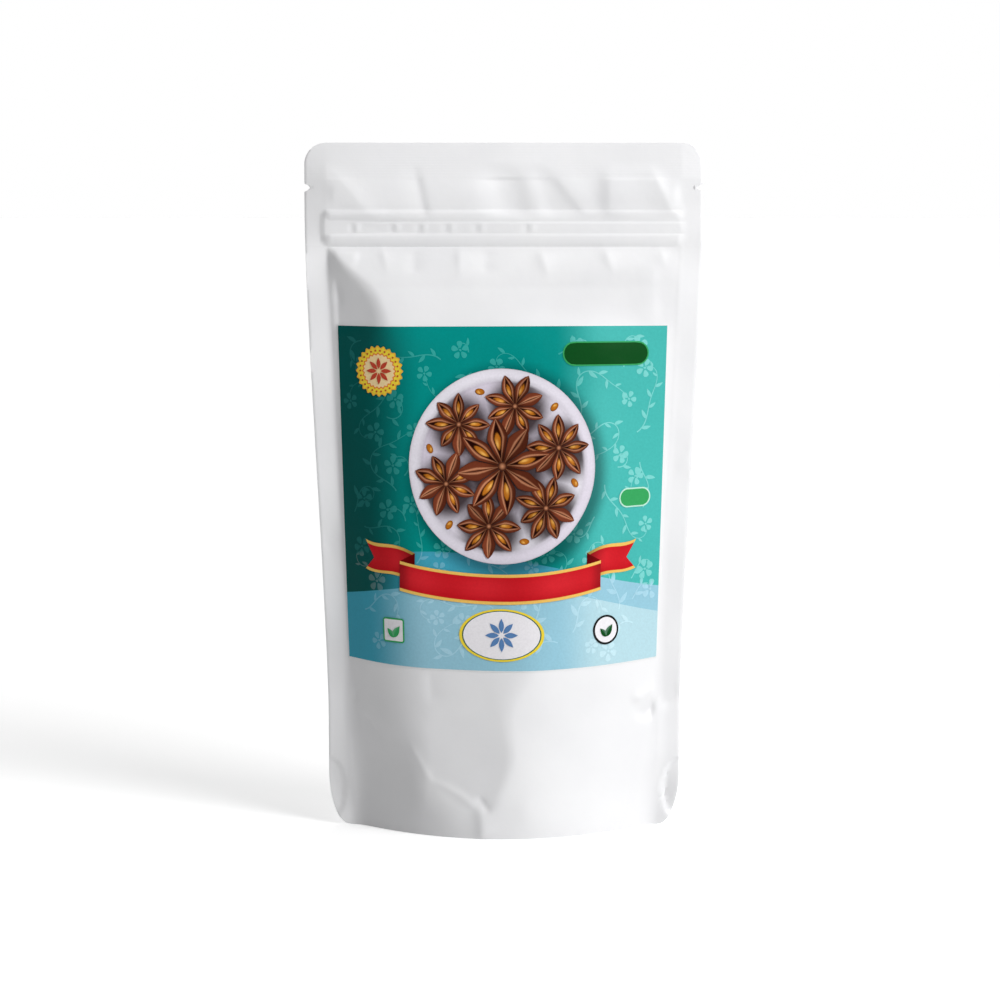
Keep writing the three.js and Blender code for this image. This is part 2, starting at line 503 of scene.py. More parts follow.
    def filled(self, x: Array, z: Array, panel: Panel) -> Array:
        """Depth of the filled part of a panel: three facets above a skirt that ends in the rim.

        Args:
            x: Places across the panel.
            z: Heights.
            panel: Which of the two panels.

        Returns:
            The distance from the plane of the seals.
        """
        facets = self.facets[panel]
        seam = self.seam_half(z)
        rise = self.rise(z, facets)
        left, right = facets.left.at(z), facets.right.at(z)
        half_twist = facets.twist.at(z) / 2.0
        across = (2.0 * x - left - right) / (right - left)
        top = rise + half_twist * across + facets.crown.at(z) * (1.0 - (x / seam) ** 2)
        left_flank = (rise - half_twist) * (seam + x) / (seam + left)
        inward = (seam - x) / (seam - right)
        right_flank = (rise + half_twist) * inward * (1.0 + facets.bulge.at(z) * (1.0 - inward))
        body = soft_min(top, left_flank, facets.left_round.at(z))
        body = soft_min(body, right_flank, facets.right_round.at(z))
        drop = np.maximum(self.lower_rail.low - z, 0.0)
        body = body * (1.0 - np.exp(-drop / self.shoulder))
        body = blend(self.rim_depth(x), body, self.off_floor(x, z, panel))
        return soft_max(body, np.zeros_like(body), self.seam_round.at(z))

    def rail_relief(self, rail: Rail, x: Array, z: Array) -> Array:
        """Relief of one zip rail: a low ridge, a little stronger to the left, crushed at its ends.

        Args:
            rail: The rail.
            x: Places across the pouch.
            z: Heights.

        Returns:
            How far it stands out of the film.
        """
        share = clamp01((z - rail.low) / (rail.high - rail.low))
        climb = np.minimum(share / rail.crest, (1.0 - share) / (1.0 - rail.crest))
        at_end = smooth((np.abs(x) - self.zip_half_length + self.zip_end) / self.zip_end)
        left = 1.0 + self.rail_left * smooth(-x / self.zip_half_length)
        return rail.relief * (1.0 - (1.0 - climb) ** 2) * blend(1.0, self.rail_crushed, at_end) * left

    def zip_relief(self, x: Array, z: Array) -> Array:
        """Relief of the whole zip: two rails, the web that slopes between them and crushed ends.

        Args:
            x: Places across the pouch.
            z: Heights.

        Returns:
            How far it stands out of the film.
        """
        low, high = self.lower_rail.high, self.upper_rail.low
        web_low, web_high, middle = low - self.web_ease, high + self.web_ease, (low + high) / 2.0
        climb = clamp01((z - web_low) / (web_high - web_low))
        web = blend(*self.web_relief, climb) * smooth((z - web_low) / self.web_ease)
        web = web * smooth((web_high - z) / self.web_ease)
        rails = [self.rail_relief(rail, x, z) for rail in (self.upper_rail, self.lower_rail)]
        bow = self.zip_bow * ((z - middle) / self.zip_half_height) ** 2
        to_end = self.zip_half_length + self.zip_overrun - bow - np.abs(x)
        crush = self.lump * np.exp(-((np.maximum(to_end, 0.0) / self.lump_length) ** 2))
        crush = crush * smooth(0.5 - x / self.lump_fade)
        crush = crush * smooth((self.lump_half_height - np.abs(z - middle)) / self.lump_ease)
        pinch = sum(np.exp(-(((x - at) / self.web_dent_width) ** 2)) for at in self.web_dents)
        off, wide = self.web_ridge_off, self.web_ridge_width
        pinch = pinch - sum(np.exp(-(((x - at - off) / wide) ** 2)) for at in self.web_dents)
        dents = self.web_dent * pinch * np.sin(math.pi * climb)
        dents = np.where((z > low) & (z < high), dents, 0.0)
        relief = np.maximum(np.maximum(*rails), np.maximum(web, crush) - dents)
        taper = 1.0 - self.zip_taper * smooth((x - self.zip_taper_from) / self.zip_taper_over)
        return relief * taper * smooth(to_end / np.where(x < 0.0, *self.zip_end_ease))

    def header(self, x: Array, z: Array) -> Array:
        """The slack film between the zip and the top seal, which pillows out a little.

        Args:
            x: Places across the pouch.
            z: Heights.

        Returns:
            How far it stands out.
        """
        low, high = self.upper_rail.high, self.height - self.top_seal
        rise = np.sin(math.pi * clamp01((z - low) / (high - low)))
        edge = self.seam_half(z) + self.header_wide - self.header_waist * rise
        return self.header_rise * rise * smooth((edge - np.abs(x)) / self.header_edge)

    def top_emboss(self, x: Array, z: Array) -> Array:
        """Fine horizontal bars pressed into the top seal, fainter here and there.

        Args:
            x: Places across the pouch.
            z: Heights.

        Returns:
            Their relief.
        """
        into = z - (self.height - self.top_seal)
        bars = np.cos(into * math.tau / self.emboss_pitch)
        across, slant, up = self.emboss_uneven
        strength = (1.0 - self.emboss_strength) * np.sin(x * across + 1.0) * np.sin(x * slant + z * up)
        strength = self.emboss_strength + strength
        start, end = self.emboss_ease
        inside = smooth(into / start) * smooth((self.height - self.emboss_margin - z) / end)
        return self.emboss * bars * strength * inside

    def punch(self, x: Array, z: Array) -> Array:
        """Reach into the half-round mark in each bottom corner, where the gusset is cut away.

        Args:
            x: Places across the pouch.
            z: Heights.

        Returns:
            0 at the mark's rim and outside it, growing to 1 at the pouch's edge.
        """
        edge = self.side_half(np.full_like(z, self.punch_height))
        across = (edge - np.abs(x)) / self.punch_width
        return clamp01(1.0 - np.hypot(across, (z - self.punch_height) / self.punch_tall))

    def sway(self, x: Array, z: Array) -> Array:
        """How far both films lie off the middle plane together: fins and header aren't flat.

        Args:
            x: Places across the pouch.
            z: Heights.

        Returns:
            The distance towards the back.
        """
        fin = clamp01((np.abs(x) - self.seam_half(z)) / self.side_seal)
        wave = sum(swing.at(z, np.sign(x)) for swing in FIN_SWINGS)
        wave = wave + np.where(x < 0.0, self.fin_back_left.at(z), self.fin_back_right.at(z))
        seal = self.height - self.top_seal
        header = sum(swing.at(x) for swing in HEADER_SWINGS)
        turned = self.header_turn * smooth(x / self.header_turn_over + self.header_turn_share)
        header = header + turned - self.zip_lean * smooth(-x / self.zip_lean_over)
        header = header + self.seal_lean * clamp01((z - self.height + self.top_seal) / self.top_seal)
        punch = self.punch(x, z)
        pressed = np.where(x < 0.0, *self.punch_tilt) * np.minimum(punch / self.punch_tilt_over, 1.0)
        pressed = pressed * (1.0 - punch)
        at_seal = smooth((z - seal + self.wave_ease) / (2.0 * self.wave_ease))
        upper = blend(1.0, self.wave_kept, at_seal) * smooth((seal + self.wave_reach - z) / self.wave_reach)
        lower = smooth((z - self.upper_rail.low - self.wave_foot) / self.wave_rise)
        crumple = relief_of(self.header_waves, x, z) * upper * lower
        crumple = crumple + relief_of(self.crumples, x, z)
        top = smooth((z - self.header_from) / self.header_over)
        return fin * wave * smooth(z / self.fin_wave_rise) + header * top + pressed + crumple

    def panel_depth(self, x: Array, z: Array, panel: Panel) -> Array:
        """Distance of a panel's surface from the middle plane.

        Args:
            x: Places across the panel.
            z: Heights.
            panel: Which of the two panels.

        Returns:
            The outward distance, which is half the fin's thickness on the seals.
        """
        inside = smooth((self.seam_half(z) - np.abs(x)) / self.fold_margin)
        filled = self.filled(x, z, panel)
        soft = filled + self.header(x, z)
        pressed = relief_of(self.folds.get(panel, ()), x, z)
        slack = blend(*self.fold_slack, smooth((z - self.upper_rail.low) / self.fold_slack_over))
        room = clamp01((soft + self.fold_least) / slack) * inside
        uneven = self.ripples[panel].relief(x, z) * smooth(filled / self.ripple_depth)
        uneven = uneven * smooth(z / self.ripple_rise)
        surface = soft - pressed * room + uneven + self.zip_relief(x, z)
        mark = self.punch_step * np.minimum(self.punch(x, z) / self.punch_step_over, 1.0)
        flat = self.fin / 2.0 + self.top_emboss(x, z) - mark
        return flat + np.maximum(surface, 0.0)


# ---- mesh helpers


def deselect_all() -> None:
    """Leave object mode with nothing selected."""
    if bpy.context.object and bpy.context.object.mode != "OBJECT":
        bpy.ops.object.mode_set(mode="OBJECT")
    bpy.ops.object.select_all(action="DESELECT")


def made(name: str) -> Piece:
    """Name the object that the last operator made, and its mesh.

    Args:
        name: The piece's name.

    Returns:
        The object.
    """
    piece = bpy.context.object
    piece.name = name
    piece.data.name = name
    return piece


def points_of(piece: Piece) -> Array:
    """The vertices of a piece, one row each, in its own units.

    Args:
        piece: The piece.

    Returns:
        Its points.
    """
    flat = np.empty(len(piece.data.vertices) * 3, dtype=np.float32)
    piece.data.vertices.foreach_get("co", flat)
    return flat.reshape(-1, 3).astype(np.float64)


def set_points(piece: Piece, points: Array) -> None:
    """Move the vertices of a piece to new places, given in millimetres."""
    piece.data.vertices.foreach_set("co", (points * MM).astype(np.float32).ravel())
    piece.data.update()


def activate(piece: Piece) -> None:
    """Leave only this piece selected, and active.

    Args:
        piece: The piece.
    """
    deselect_all()
    piece.select_set(True)
    bpy.context.view_layer.objects.active = piece


def select_edges(piece: Piece, chosen: Array) -> None:
    """Enter edit mode with just these edges selected.

    Args:
        piece: The object to edit.
        chosen: One truth value for each edge.
    """
    activate(piece)
    mesh = piece.data
    mesh.polygons.foreach_set("select", np.zeros(len(mesh.polygons), dtype=bool))
    mesh.vertices.foreach_set("select", np.zeros(len(mesh.vertices), dtype=bool))
    mesh.edges.foreach_set("select", chosen)
    bpy.context.tool_settings.mesh_select_mode = (False, True, False)
    bpy.ops.object.mode_set(mode="EDIT")


def edge_ends(piece: Piece) -> Places:
    """The places of both ends of every edge of a piece.

    Args:
        piece: The piece.

    Returns:
        The first ends and the second ends, one row for each edge.
    """
    points = points_of(piece)
    pairs = np.empty(len(piece.data.edges) * 2, dtype=np.int32)
    piece.data.edges.foreach_get("vertices", pairs)
    pairs = pairs.reshape(-1, 2)
    return points[pairs[:, 0]], points[pairs[:, 1]]


def attach(piece: Piece, nodes: tuple[str, ...] = ()) -> Piece:
    """Fix a finished piece to the pouch and hide what it stands for.

    Args:
        piece: The finished piece.
        nodes: CAD nodes that it replaces.

    Returns:
        The piece.
    """
    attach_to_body(piece, BODY)
    if nodes:
        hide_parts(*nodes)
    return piece


def finish_mesh(piece: Piece, angle: float, finish: bpy.types.Material) -> None:
    """Shade a piece smooth where its faces meet at less than an angle, and give it its finish.

    Args:
        piece: The piece, selected and active.
        angle: The angle in degrees.
        finish: Its material.
    """
    bpy.ops.object.shade_smooth_by_angle(angle=math.radians(angle))
    piece.data.materials.append(finish)


def thicken(piece: Piece, thickness: float, offset: float) -> None:
    """Give a flat piece a thickness.

    Args:
        piece: The piece, selected and active.
        thickness: The thickness.
        offset: 1 to grow outwards from its faces, 0 to grow both ways.
    """
    solid = piece.modifiers.new("thickness", "SOLIDIFY")
    solid.thickness = thickness
    solid.offset = offset
    bpy.ops.object.modifier_apply(modifier=solid.name)


# ---- finishes


NOISE_RANGE = (0.3, 0.7)


class NodeSheet:
    """The node tree of a material or a world, with short ways to add and join nodes."""

    def __init__(self, owner: bpy.types.Material | bpy.types.World) -> None:
        """Start with an empty tree.

        Args:
            owner: What the tree belongs to.
        """
        self.owner = owner
        owner.use_nodes = True
        self.tree = owner.node_tree
        self.tree.nodes.clear()

    def add(self, kind: str, inputs: dict | None = None, **values: object) -> bpy.types.Node:
        """Add a node.

        Args:
            kind: Blender's name for the kind of node.
            inputs: What goes into its sockets: a value, or the socket that is joined to it.
            values: Its properties.

        Returns:
            The node.
        """
        node = self.tree.nodes.new(kind)
        for key, value in values.items():
            setattr(node, key, value)
        for key, value in (inputs or {}).items():
            if isinstance(value, Socket):
                self.tree.links.new(value, node.inputs[key])
            else:
                node.inputs[key].default_value = value
        return node

    def math(self, operation: str, first: Socket, second: Socket | float) -> Socket:
        """A sum of two values."""
        return self.add("ShaderNodeMath", {0: first, 1: second}, operation=operation).outputs["Value"]

    def ranged(self, value: Socket, source: Pair, target: Pair) -> Socket:
        """Map one range of a value onto another, and limit it to that.

        Args:
            value: The value.
            source: The range that it has.
            target: The range that it gets.

        Returns:
            The mapped value.
        """
        names = ("From Min", "From Max", "To Min", "To Max")
        ends = dict(zip(names, (*source, *target)))
        return self.add("ShaderNodeMapRange", {"Value": value, **ends}).outputs["Result"]

    def noise(self, scale: float, detail: float = 2.0, rough: float = 0.5) -> Socket:
        """Cloudy noise over the piece, by its own metres.

        Args:
            scale: Waves in each metre.
            detail: Number of finer layers.
            rough: Strength of the finer layers.

        Returns:
            The noise value, about 0.2 to 0.8.
        """
        place = self.add("ShaderNodeTexCoord").outputs["Object"]
        inputs = {"Scale": scale, "Detail": detail, "Roughness": rough, "Vector": place}
        return self.add("ShaderNodeTexNoise", inputs).outputs["Fac"]

    def spread(self, value: Socket, low: float, high: float) -> Socket:
        """Map the usual range of a noise value onto a range of a shader value."""
        return self.ranged(value, NOISE_RANGE, (low, high))

    def tint(self, value: Socket, dark: Colour, light: Colour) -> Socket:
        """A colour between two, by a noise value.

        Args:
            value: The noise value.
            dark: The colour at the low end of its usual range.
            light: The colour at the high end.

        Returns:
            The colour.
        """
        ramp = self.add("ShaderNodeValToRGB", {"Fac": value})
        for stop, at, colour in zip(ramp.color_ramp.elements, NOISE_RANGE, (dark, light)):
            stop.position = at
            stop.color = (*colour, 1.0)
        return ramp.outputs["Color"]

    def bump(
        self, height: Socket, distance: float, strength: float = 1.0, under: Socket | None = None
    ) -> Socket:
        """A bump, on top of another bump if one is given.

        Args:
            height: Its height, 0 to 1.
            distance: How many metres a height of 1 is.
            strength: Its strength.
            under: The bump below it.

        Returns:
            The bumped normal.
        """
        inputs = {"Strength": strength, "Distance": distance, "Height": height}
        if under is not None:
            inputs["Normal"] = under
        return self.add("ShaderNodeBump", inputs).outputs["Normal"]

    def finish(self, inputs: dict) -> bpy.types.Material:
        """Make the surface's shader, join it to the output and give the material back.

        Args:
            inputs: What goes into the shader's sockets.

        Returns:
            The finished material.
        """
        shader = self.add("ShaderNodeBsdfPrincipled", inputs)
        self.add("ShaderNodeOutputMaterial", {"Surface": shader.outputs["BSDF"]})
        return self.owner


@dataclass(frozen=True)
class FilmFinish:
    """White satin laminate film: smooth, slightly uneven in gloss, with a faint rolled grain."""

    light: Colour = (0.83, 0.83, 0.84)
    dark: Colour = (0.8, 0.8, 0.815)
    cloud: float = 45.0
    gloss: Pair = (0.36, 0.46)
    gloss_cloud: float = 160.0
    coat: float = 0.12
    coat_roughness: float = 0.25
    slack: float = 220.0
    slack_depth: float = 0.00012
    grain: float = 2600.0
    grain_depth: float = 0.00001

    def build(self) -> bpy.types.Material:
        """Make the film's material.

        Returns:
            The material.
        """
        sheet = NodeSheet(bpy.data.materials.new("white_satin_film"))
        slack = sheet.bump(sheet.noise(self.slack), self.slack_depth, 0.5)
        grain = sheet.noise(self.grain, rough=0.6)
        inputs = {
            "Base Color": sheet.tint(sheet.noise(self.cloud, detail=3.0), self.dark, self.light),
            "Roughness": sheet.spread(sheet.noise(self.gloss_cloud), *self.gloss),
            "IOR": 1.5,
            "Coat Weight": self.coat,
            "Coat Roughness": self.coat_roughness,
            "Normal": sheet.bump(grain, self.grain_depth, 0.5, under=slack),
        }
        return sheet.finish(inputs)


@dataclass(frozen=True)
class LabelPaper:
    """Coated white label stock."""

    light: Colour = (0.84, 0.84, 0.84)
    dark: Colour = (0.79, 0.8, 0.8)
    cloud: float = 900.0
    gloss: Pair = (0.38, 0.48)
    gloss_cloud: float = 500.0
    grain: float = 3000.0
    grain_depth: float = 0.00001

    def build(self) -> bpy.types.Material:
        """Make the label stock's material.

        Returns:
            The material.
        """
        sheet = NodeSheet(bpy.data.materials.new("coated_label_stock"))
        inputs = {
            "Base Color": sheet.tint(sheet.noise(self.cloud, detail=3.0), self.dark, self.light),
            "Roughness": sheet.spread(sheet.noise(self.gloss_cloud), *self.gloss),
            "Normal": sheet.bump(sheet.noise(self.grain), self.grain_depth, 0.4),
        }
        return sheet.finish(inputs)


# ---- the film pouch


# a point of the unit box that lies further out than this lies on its edge
AT_EDGE = 0.4999


@dataclass(frozen=True)
class Span:
    """A run of evenly spaced rows of the film's mesh."""

    top: float
    rows: int


@dataclass
class FilmPouch:
    """The film pouch: front and back panels, side fins, top seal, zip and gusseted base."""

    form: PouchForm
    finish: FilmFinish
    columns: int = 160
    seal_columns: int = 8
    layers: int = 8
    spans: tuple[Span, ...] = (
        *(Span(2.0, 5), Span(28.0, 38), Span(56.0, 36), Span(160.0, 56), Span(190.6, 44)),
        *(Span(196.4, 20), Span(198.4, 5), Span(204.0, 16), Span(209.0, 9), Span(211.8, 9)),
        *(Span(214.2, 5), Span(225.0, 38)),
    )
    least_fin: float = 3.2
    evenness: float = 0.6
    notch_columns: float = 2.0
    pleat_depth: float = 0.16
    pleat_half: float = 0.16
    edge_swell: float = 0.09
    smooth_angle: float = 50.0

    def heights(self) -> Array:
        """Heights of the mesh's rows, from the floor up.

        Returns:
            One height for each row.
        """
        rows = [0.0]
        for span in self.spans:
            rows += list(np.linspace(rows[-1], span.top, span.rows + 1)[1:])
        rows[-1] = self.form.height
        return np.array(rows)

    def column_places(self, column: Array, z: Array) -> Array:
        """The x of each vertex, from its column and height.

        Args:
            column: Column numbers, from 0 at the left edge.
            z: Heights.

        Returns:
            Places across the pouch, closer together near the seams.
        """
        edge = self.form.outline_half(z)
        seam = np.minimum(self.form.seam_half(z), edge - self.least_fin)
        inner = self.columns - 2 * self.seal_columns
        even = clamp01((column - self.seal_columns) / inner) * 2.0 - 1.0
        bunched = np.sin(even * math.pi / 2.0)
        across = seam * (self.evenness * even + (1.0 - self.evenness) * bunched)
        from_edge = np.minimum(column, self.columns - column)
        out = clamp01(1.0 - from_edge / self.seal_columns)
        tip = edge - self.form.notch_cut(z)
        pulled = np.where(out > 1.0 - self.notch_columns / self.seal_columns - 1e-6, tip, edge)
        return across + np.sign(column - self.columns / 2.0) * out * (pulled - seam)

    def unit_box(self) -> Piece:
        """A closed box of unit size: a grid for each panel, bridged and cut into layers.

        Returns:
            The box, centred on the origin.
        """
        rows = len(self.heights()) - 1
        panels = []
        for y, turn in ((-0.5, math.pi / 2.0), (0.5, -math.pi / 2.0)):
            deselect_all()
            bpy.ops.mesh.primitive_grid_add(
                x_subdivisions=self.columns,
                y_subdivisions=rows,
                size=1.0,
                location=(0.0, y, 0.0),
                rotation=(turn, 0.0, 0.0),
            )
            panels.append(made("pouch_film"))
        deselect_all()
        for panel in panels:
            panel.select_set(True)
        bpy.context.view_layer.objects.active = panels[0]
        bpy.ops.object.transform_apply(location=True, rotation=True, scale=True)
        bpy.ops.object.join()
        box = made("pouch_film")
        select_edges(box, np.zeros(len(box.data.edges), dtype=bool))
        bpy.ops.mesh.select_non_manifold()
        bpy.ops.mesh.bridge_edge_loops()
        bpy.ops.object.mode_set(mode="OBJECT")
        start, end = edge_ends(box)
        select_edges(box, np.abs(start[:, 1] - end[:, 1]) > 0.5)
        bpy.ops.mesh.subdivide(number_cuts=self.layers - 1)
        bpy.ops.object.mode_set(mode="OBJECT")
        return box

    def shape(self, box: Piece) -> None:
        """Move each vertex of the unit box to its place on the pouch.

        Args:
            box: The closed unit box.
        """
        form, heights = self.form, self.heights()
        unit = points_of(box)
        column = (unit[:, 0] + 0.5) * self.columns
        layer = unit[:, 1] * 2.0
        z = np.interp((unit[:, 2] + 0.5) * (len(heights) - 1), np.arange(len(heights)), heights)
        x = self.column_places(np.round(column), z)
        front = form.panel_depth(x, z, Panel.FRONT)
        back = form.panel_depth(x, z, Panel.BACK)
        y = np.where(layer < 0.0, layer * front, layer * back) + form.sway(x, z)
        floor = unit[:, 2] < -AT_EDGE
        share = clamp01(1.0 - (layer / form.rim_share) ** 2)
        across = clamp01(1.0 - (x / form.seam_half(np.zeros(1))[0]) ** 2)
        pleat = 1.0 - self.pleat_depth * np.exp(-((layer / self.pleat_half) ** 2))
        z = np.where(floor, form.base_arch * share * across * pleat, z)
        edge = (np.abs(unit[:, 0]) > AT_EDGE) & (np.abs(layer) < 2.0 * AT_EDGE)
        swell = np.sign(x) * self.edge_swell * np.abs(np.sin(layer * math.pi))
        x = np.where(edge, x + swell, x)
        set_points(box, np.column_stack((x, y, z)))

    def build(self) -> Piece:
        """Build, shade and attach the pouch.

        Returns:
            The finished piece.
        """
        box = self.unit_box()
        self.shape(box)
        select_edges(box, np.ones(len(box.data.edges), dtype=bool))
        bpy.ops.mesh.select_all(action="SELECT")
        bpy.ops.mesh.normals_make_consistent(inside=False)
        bpy.ops.object.mode_set(mode="OBJECT")
        finish_mesh(box, self.smooth_angle, self.finish.build())
        return attach(box, ("pouch",))


# ---- the label


@dataclass
class LabelSheet:
    """The label's place on the front panel, and the way to lay flat shapes onto it.

    Flat places are in millimetres of the artwork: across from the label's middle, up from its lower
    edge, and out from the film. The label is laid along the film's own length, so it doesn't stretch
    over the bulge, and its lower edge sags a little in the middle.
    """

    form: PouchForm
    low: float
    high: float
    half_low: float
    half_high: float
    middle: float = 0.0
    width: float = 111.0
    tall: float = 108.0
    sag: float = 2.0
    columns: int = 100
    rows: int = 54
    film_gap: float = 0.05
    top: float = 0.15
    samples: int = 400
    height_rows: int = 115
    slope_step: float = 0.25
    smooth_angle: float = 50.0

    def __post_init__(self) -> None:
        """Work out where each share of the label's width lies on the film, at each height."""
        self.heights = np.linspace(self.low - self.sag - 1.0, self.high + 1.0, self.height_rows)
        z = np.repeat(self.heights[:, None], self.samples + 1, axis=1)
        half = blend(self.half_low, self.half_high, (z - self.low) / (self.high - self.low))
        x = self.middle + half * np.linspace(-1.0, 1.0, self.samples + 1)
        depth = self.form.panel_depth(x, z, Panel.FRONT)
        steps = np.hypot(np.diff(x, axis=1), np.diff(depth, axis=1))
        run = np.concatenate((np.zeros((len(z), 1)), np.cumsum(steps, axis=1)), axis=1)
        shares = np.linspace(0.0, 1.0, self.samples + 1)
        rows = [np.interp(shares, line / line[-1], places) for line, places in zip(run, x)]
        self.places = np.array(rows)

    def height_of(self, s: Array, t: Array) -> Array:
        """The height above the floor of flat places on the label.

        Args:
            s: Places across the label.
            t: Places up the label.

        Returns:
            The heights.
        """
        share = t / self.tall
        sag = self.sag * (1.0 - share) * (1.0 - (2.0 * s / self.width) ** 2)
        return blend(self.low, self.high, share) - sag

    def across(self, s: Array, z: Array) -> Array:
        """The x of places on the label, from their flat place across and their height.

        Args:
            s: Flat places across the label.
            z: Their heights above the floor.

        Returns:
            The x of each place.
        """
        row = (z - self.heights[0]) / (self.heights[1] - self.heights[0])
        column = (s / self.width + 0.5) * self.samples
        row = np.clip(row, 0.0, len(self.heights) - 1.001)
        column = np.clip(column, 0.0, self.samples - 0.001)
        r, c = row.astype(int), column.astype(int)
        low = blend(self.places[r, c], self.places[r, c + 1], column - c)
        high = blend(self.places[r + 1, c], self.places[r + 1, c + 1], column - c)
        return blend(low, high, row - r)

    def lay(self, flat: Array) -> Array:
        """Bend flat places onto the pouch's front.

        Args:
            flat: Rows of across, up and out.

        Returns:
            Points in millimetres.
        """
        s, t, out = flat.T
        z = self.height_of(s, t)
        x = self.across(s, z)
        step = self.slope_step
        depth = self.form.panel_depth(x, z, Panel.FRONT)
        slope_x = (self.form.panel_depth(x + step, z, Panel.FRONT) - depth) / step
        slope_z = (self.form.panel_depth(x, z + step, Panel.FRONT) - depth) / step
        size = np.sqrt(1.0 + slope_x**2 + slope_z**2)
        y = -depth + self.form.sway(x, z) - out / size
        return np.column_stack((x - out * slope_x / size, y, z - out * slope_z / size))

    def build(self, paper: LabelPaper) -> Piece:
        """Build the sheet of label stock.

        Args:
            paper: The finish of the stock.

        Returns:
            The finished piece.
        """
        deselect_all()
        bpy.ops.mesh.primitive_grid_add(
            x_subdivisions=self.columns, y_subdivisions=self.rows, size=1.0
        )
        sheet = made("label_sheet")
        thicken(sheet, 1.0, 0.0)
        unit = points_of(sheet)
        out = np.where(unit[:, 2] > 0.0, self.top, self.film_gap)
        up = (unit[:, 1] + 0.5) * self.tall
        set_points(sheet, self.lay(np.column_stack((unit[:, 0] * self.width, up, out))))
        finish_mesh(sheet, self.smooth_angle, paper.build())
        return attach(sheet, ("label",))


# ---- flat shapes of ink

# how close points of a motif are that count as one
MERGE = 1e-5
CUT_SNAP = 1e-4


def mixed(low: Array | Colour, high: Array | Colour, share: Array) -> Array:
    """Colours between two, one row for each share."""
    share = np.asarray(share, dtype=float)[:, None]
    return np.asarray(low) * (1.0 - share) + np.asarray(high) * share


def plain(colour: Colour, places: Array) -> Array:
    """The same colour for each place."""
    return np.tile(np.asarray(colour), (len(places), 1))


@dataclass
class Motif:
    """A flat shape: its points, its faces and the colour at each point."""

    points: Array
    faces: list[tuple[int, ...]]
    colours: Array

    def placed(
        self,
        at: Pair,
        turn: float = 0.0,
        size: float = 1.0,
        mirror: bool = False,
        tint: float = 1.0,
    ) -> Motif:
        """A copy of the motif somewhere else.

        Args:
            at: Where its own origin goes.
            turn: Its turn to the left, in radians.
            size: Its scale.
            mirror: Whether it is flipped over its own long axis first.
            tint: What its colours are multiplied by.

        Returns:
            The copy.
        """
        flip = np.array((1.0, -1.0 if mirror else 1.0))
        cos, sin = math.cos(turn), math.sin(turn)
        turned = (self.points * flip * size) @ np.array(((cos, sin), (-sin, cos)))
        faces = [face[::-1] for face in self.faces] if mirror else self.faces
        return Motif(turned + np.asarray(at), faces, self.colours * tint)


def taken(piece: Piece) -> Motif:
    """Turn a flat object into a motif and remove the object.

    Args:
        piece: The flat object.

    Returns:
        The motif, still without colours.
    """
    points = points_of(piece)[:, :2]
    faces = [tuple(face.vertices) for face in piece.data.polygons]
    bpy.data.objects.remove(piece)
    return Motif(points, faces, np.zeros((len(points), 3)))


def write_ink(mesh: bpy.types.Mesh, colours: Array) -> None:
    """Save a colour for each vertex of a mesh.

    Args:
        mesh: The mesh.
        colours: One row for each vertex.
    """
    if INK not in mesh.attributes:
        mesh.attributes.new(INK, "FLOAT_COLOR", "POINT")
    opaque = np.column_stack((colours, np.ones(len(colours)))).astype(np.float32)
    mesh.attributes[INK].data.foreach_set("color", opaque.ravel())


def step_of(values: Array, share: Array) -> Array:
    """The one of a row of values that each share of the way along the row falls on."""
    return values[np.round(share * (len(values) - 1)).astype(int)]


def circle(radius: float) -> Outline:
    """The outline of a circle: its radius in each direction."""
    return lambda turn: np.full_like(turn, radius)


def oval(wide: float, tall: float) -> Outline:
    """The outline of an oval of these half sizes: its radius in each direction."""
    return lambda turn: 1.0 / np.hypot(np.cos(turn) / wide, np.sin(turn) / tall)


def polar(at: Pair, reach: float, turn: float) -> Pair:
    """The place at a distance and a direction from another."""
    return at[0] + reach * math.cos(turn), at[1] + reach * math.sin(turn)


def patch(columns: int, rows: int, place: Placing, colour: Dye) -> Motif:
    """A motif made from a grid whose points are moved to new places.

    Args:
        columns: Faces across the grid.
        rows: Faces up the grid.
        place: Gives the places across and up, from shares of the grid's width and height.
        colour: Gives a colour for each of the same shares.

    Returns:
        The motif, with points that fall together merged and its faces up.
    """
    deselect_all()
    bpy.ops.mesh.primitive_grid_add(x_subdivisions=columns, y_subdivisions=rows, size=1.0)
    piece = made("motif")
    u, v = (points_of(piece)[:, :2] + 0.5).T
    across, up = place(u, v)
    mesh = piece.data
    write_ink(mesh, colour(u, v))
    flat = np.column_stack((across, up, np.zeros_like(up)))
    mesh.vertices.foreach_set("co", flat.astype(np.float32).ravel())
    bpy.ops.object.mode_set(mode="EDIT")
    bpy.ops.mesh.select_all(action="SELECT")
    bpy.ops.mesh.remove_doubles(threshold=MERGE)
    bpy.ops.object.mode_set(mode="OBJECT")
    kept = np.empty(len(mesh.vertices) * 4, dtype=np.float32)
    mesh.attributes[INK].data.foreach_get("color", kept)
    motif = taken(piece)
    motif.colours = kept.reshape(-1, 4)[:, :3].astype(float)
    corners = np.array([face[:3] for face in motif.faces])
    first, second, third = (motif.points[corners[:, number]] for number in range(3))
    if np.cross(second - first, third - second).sum() < 0.0:
        motif.faces = [face[::-1] for face in motif.faces]
    return motif


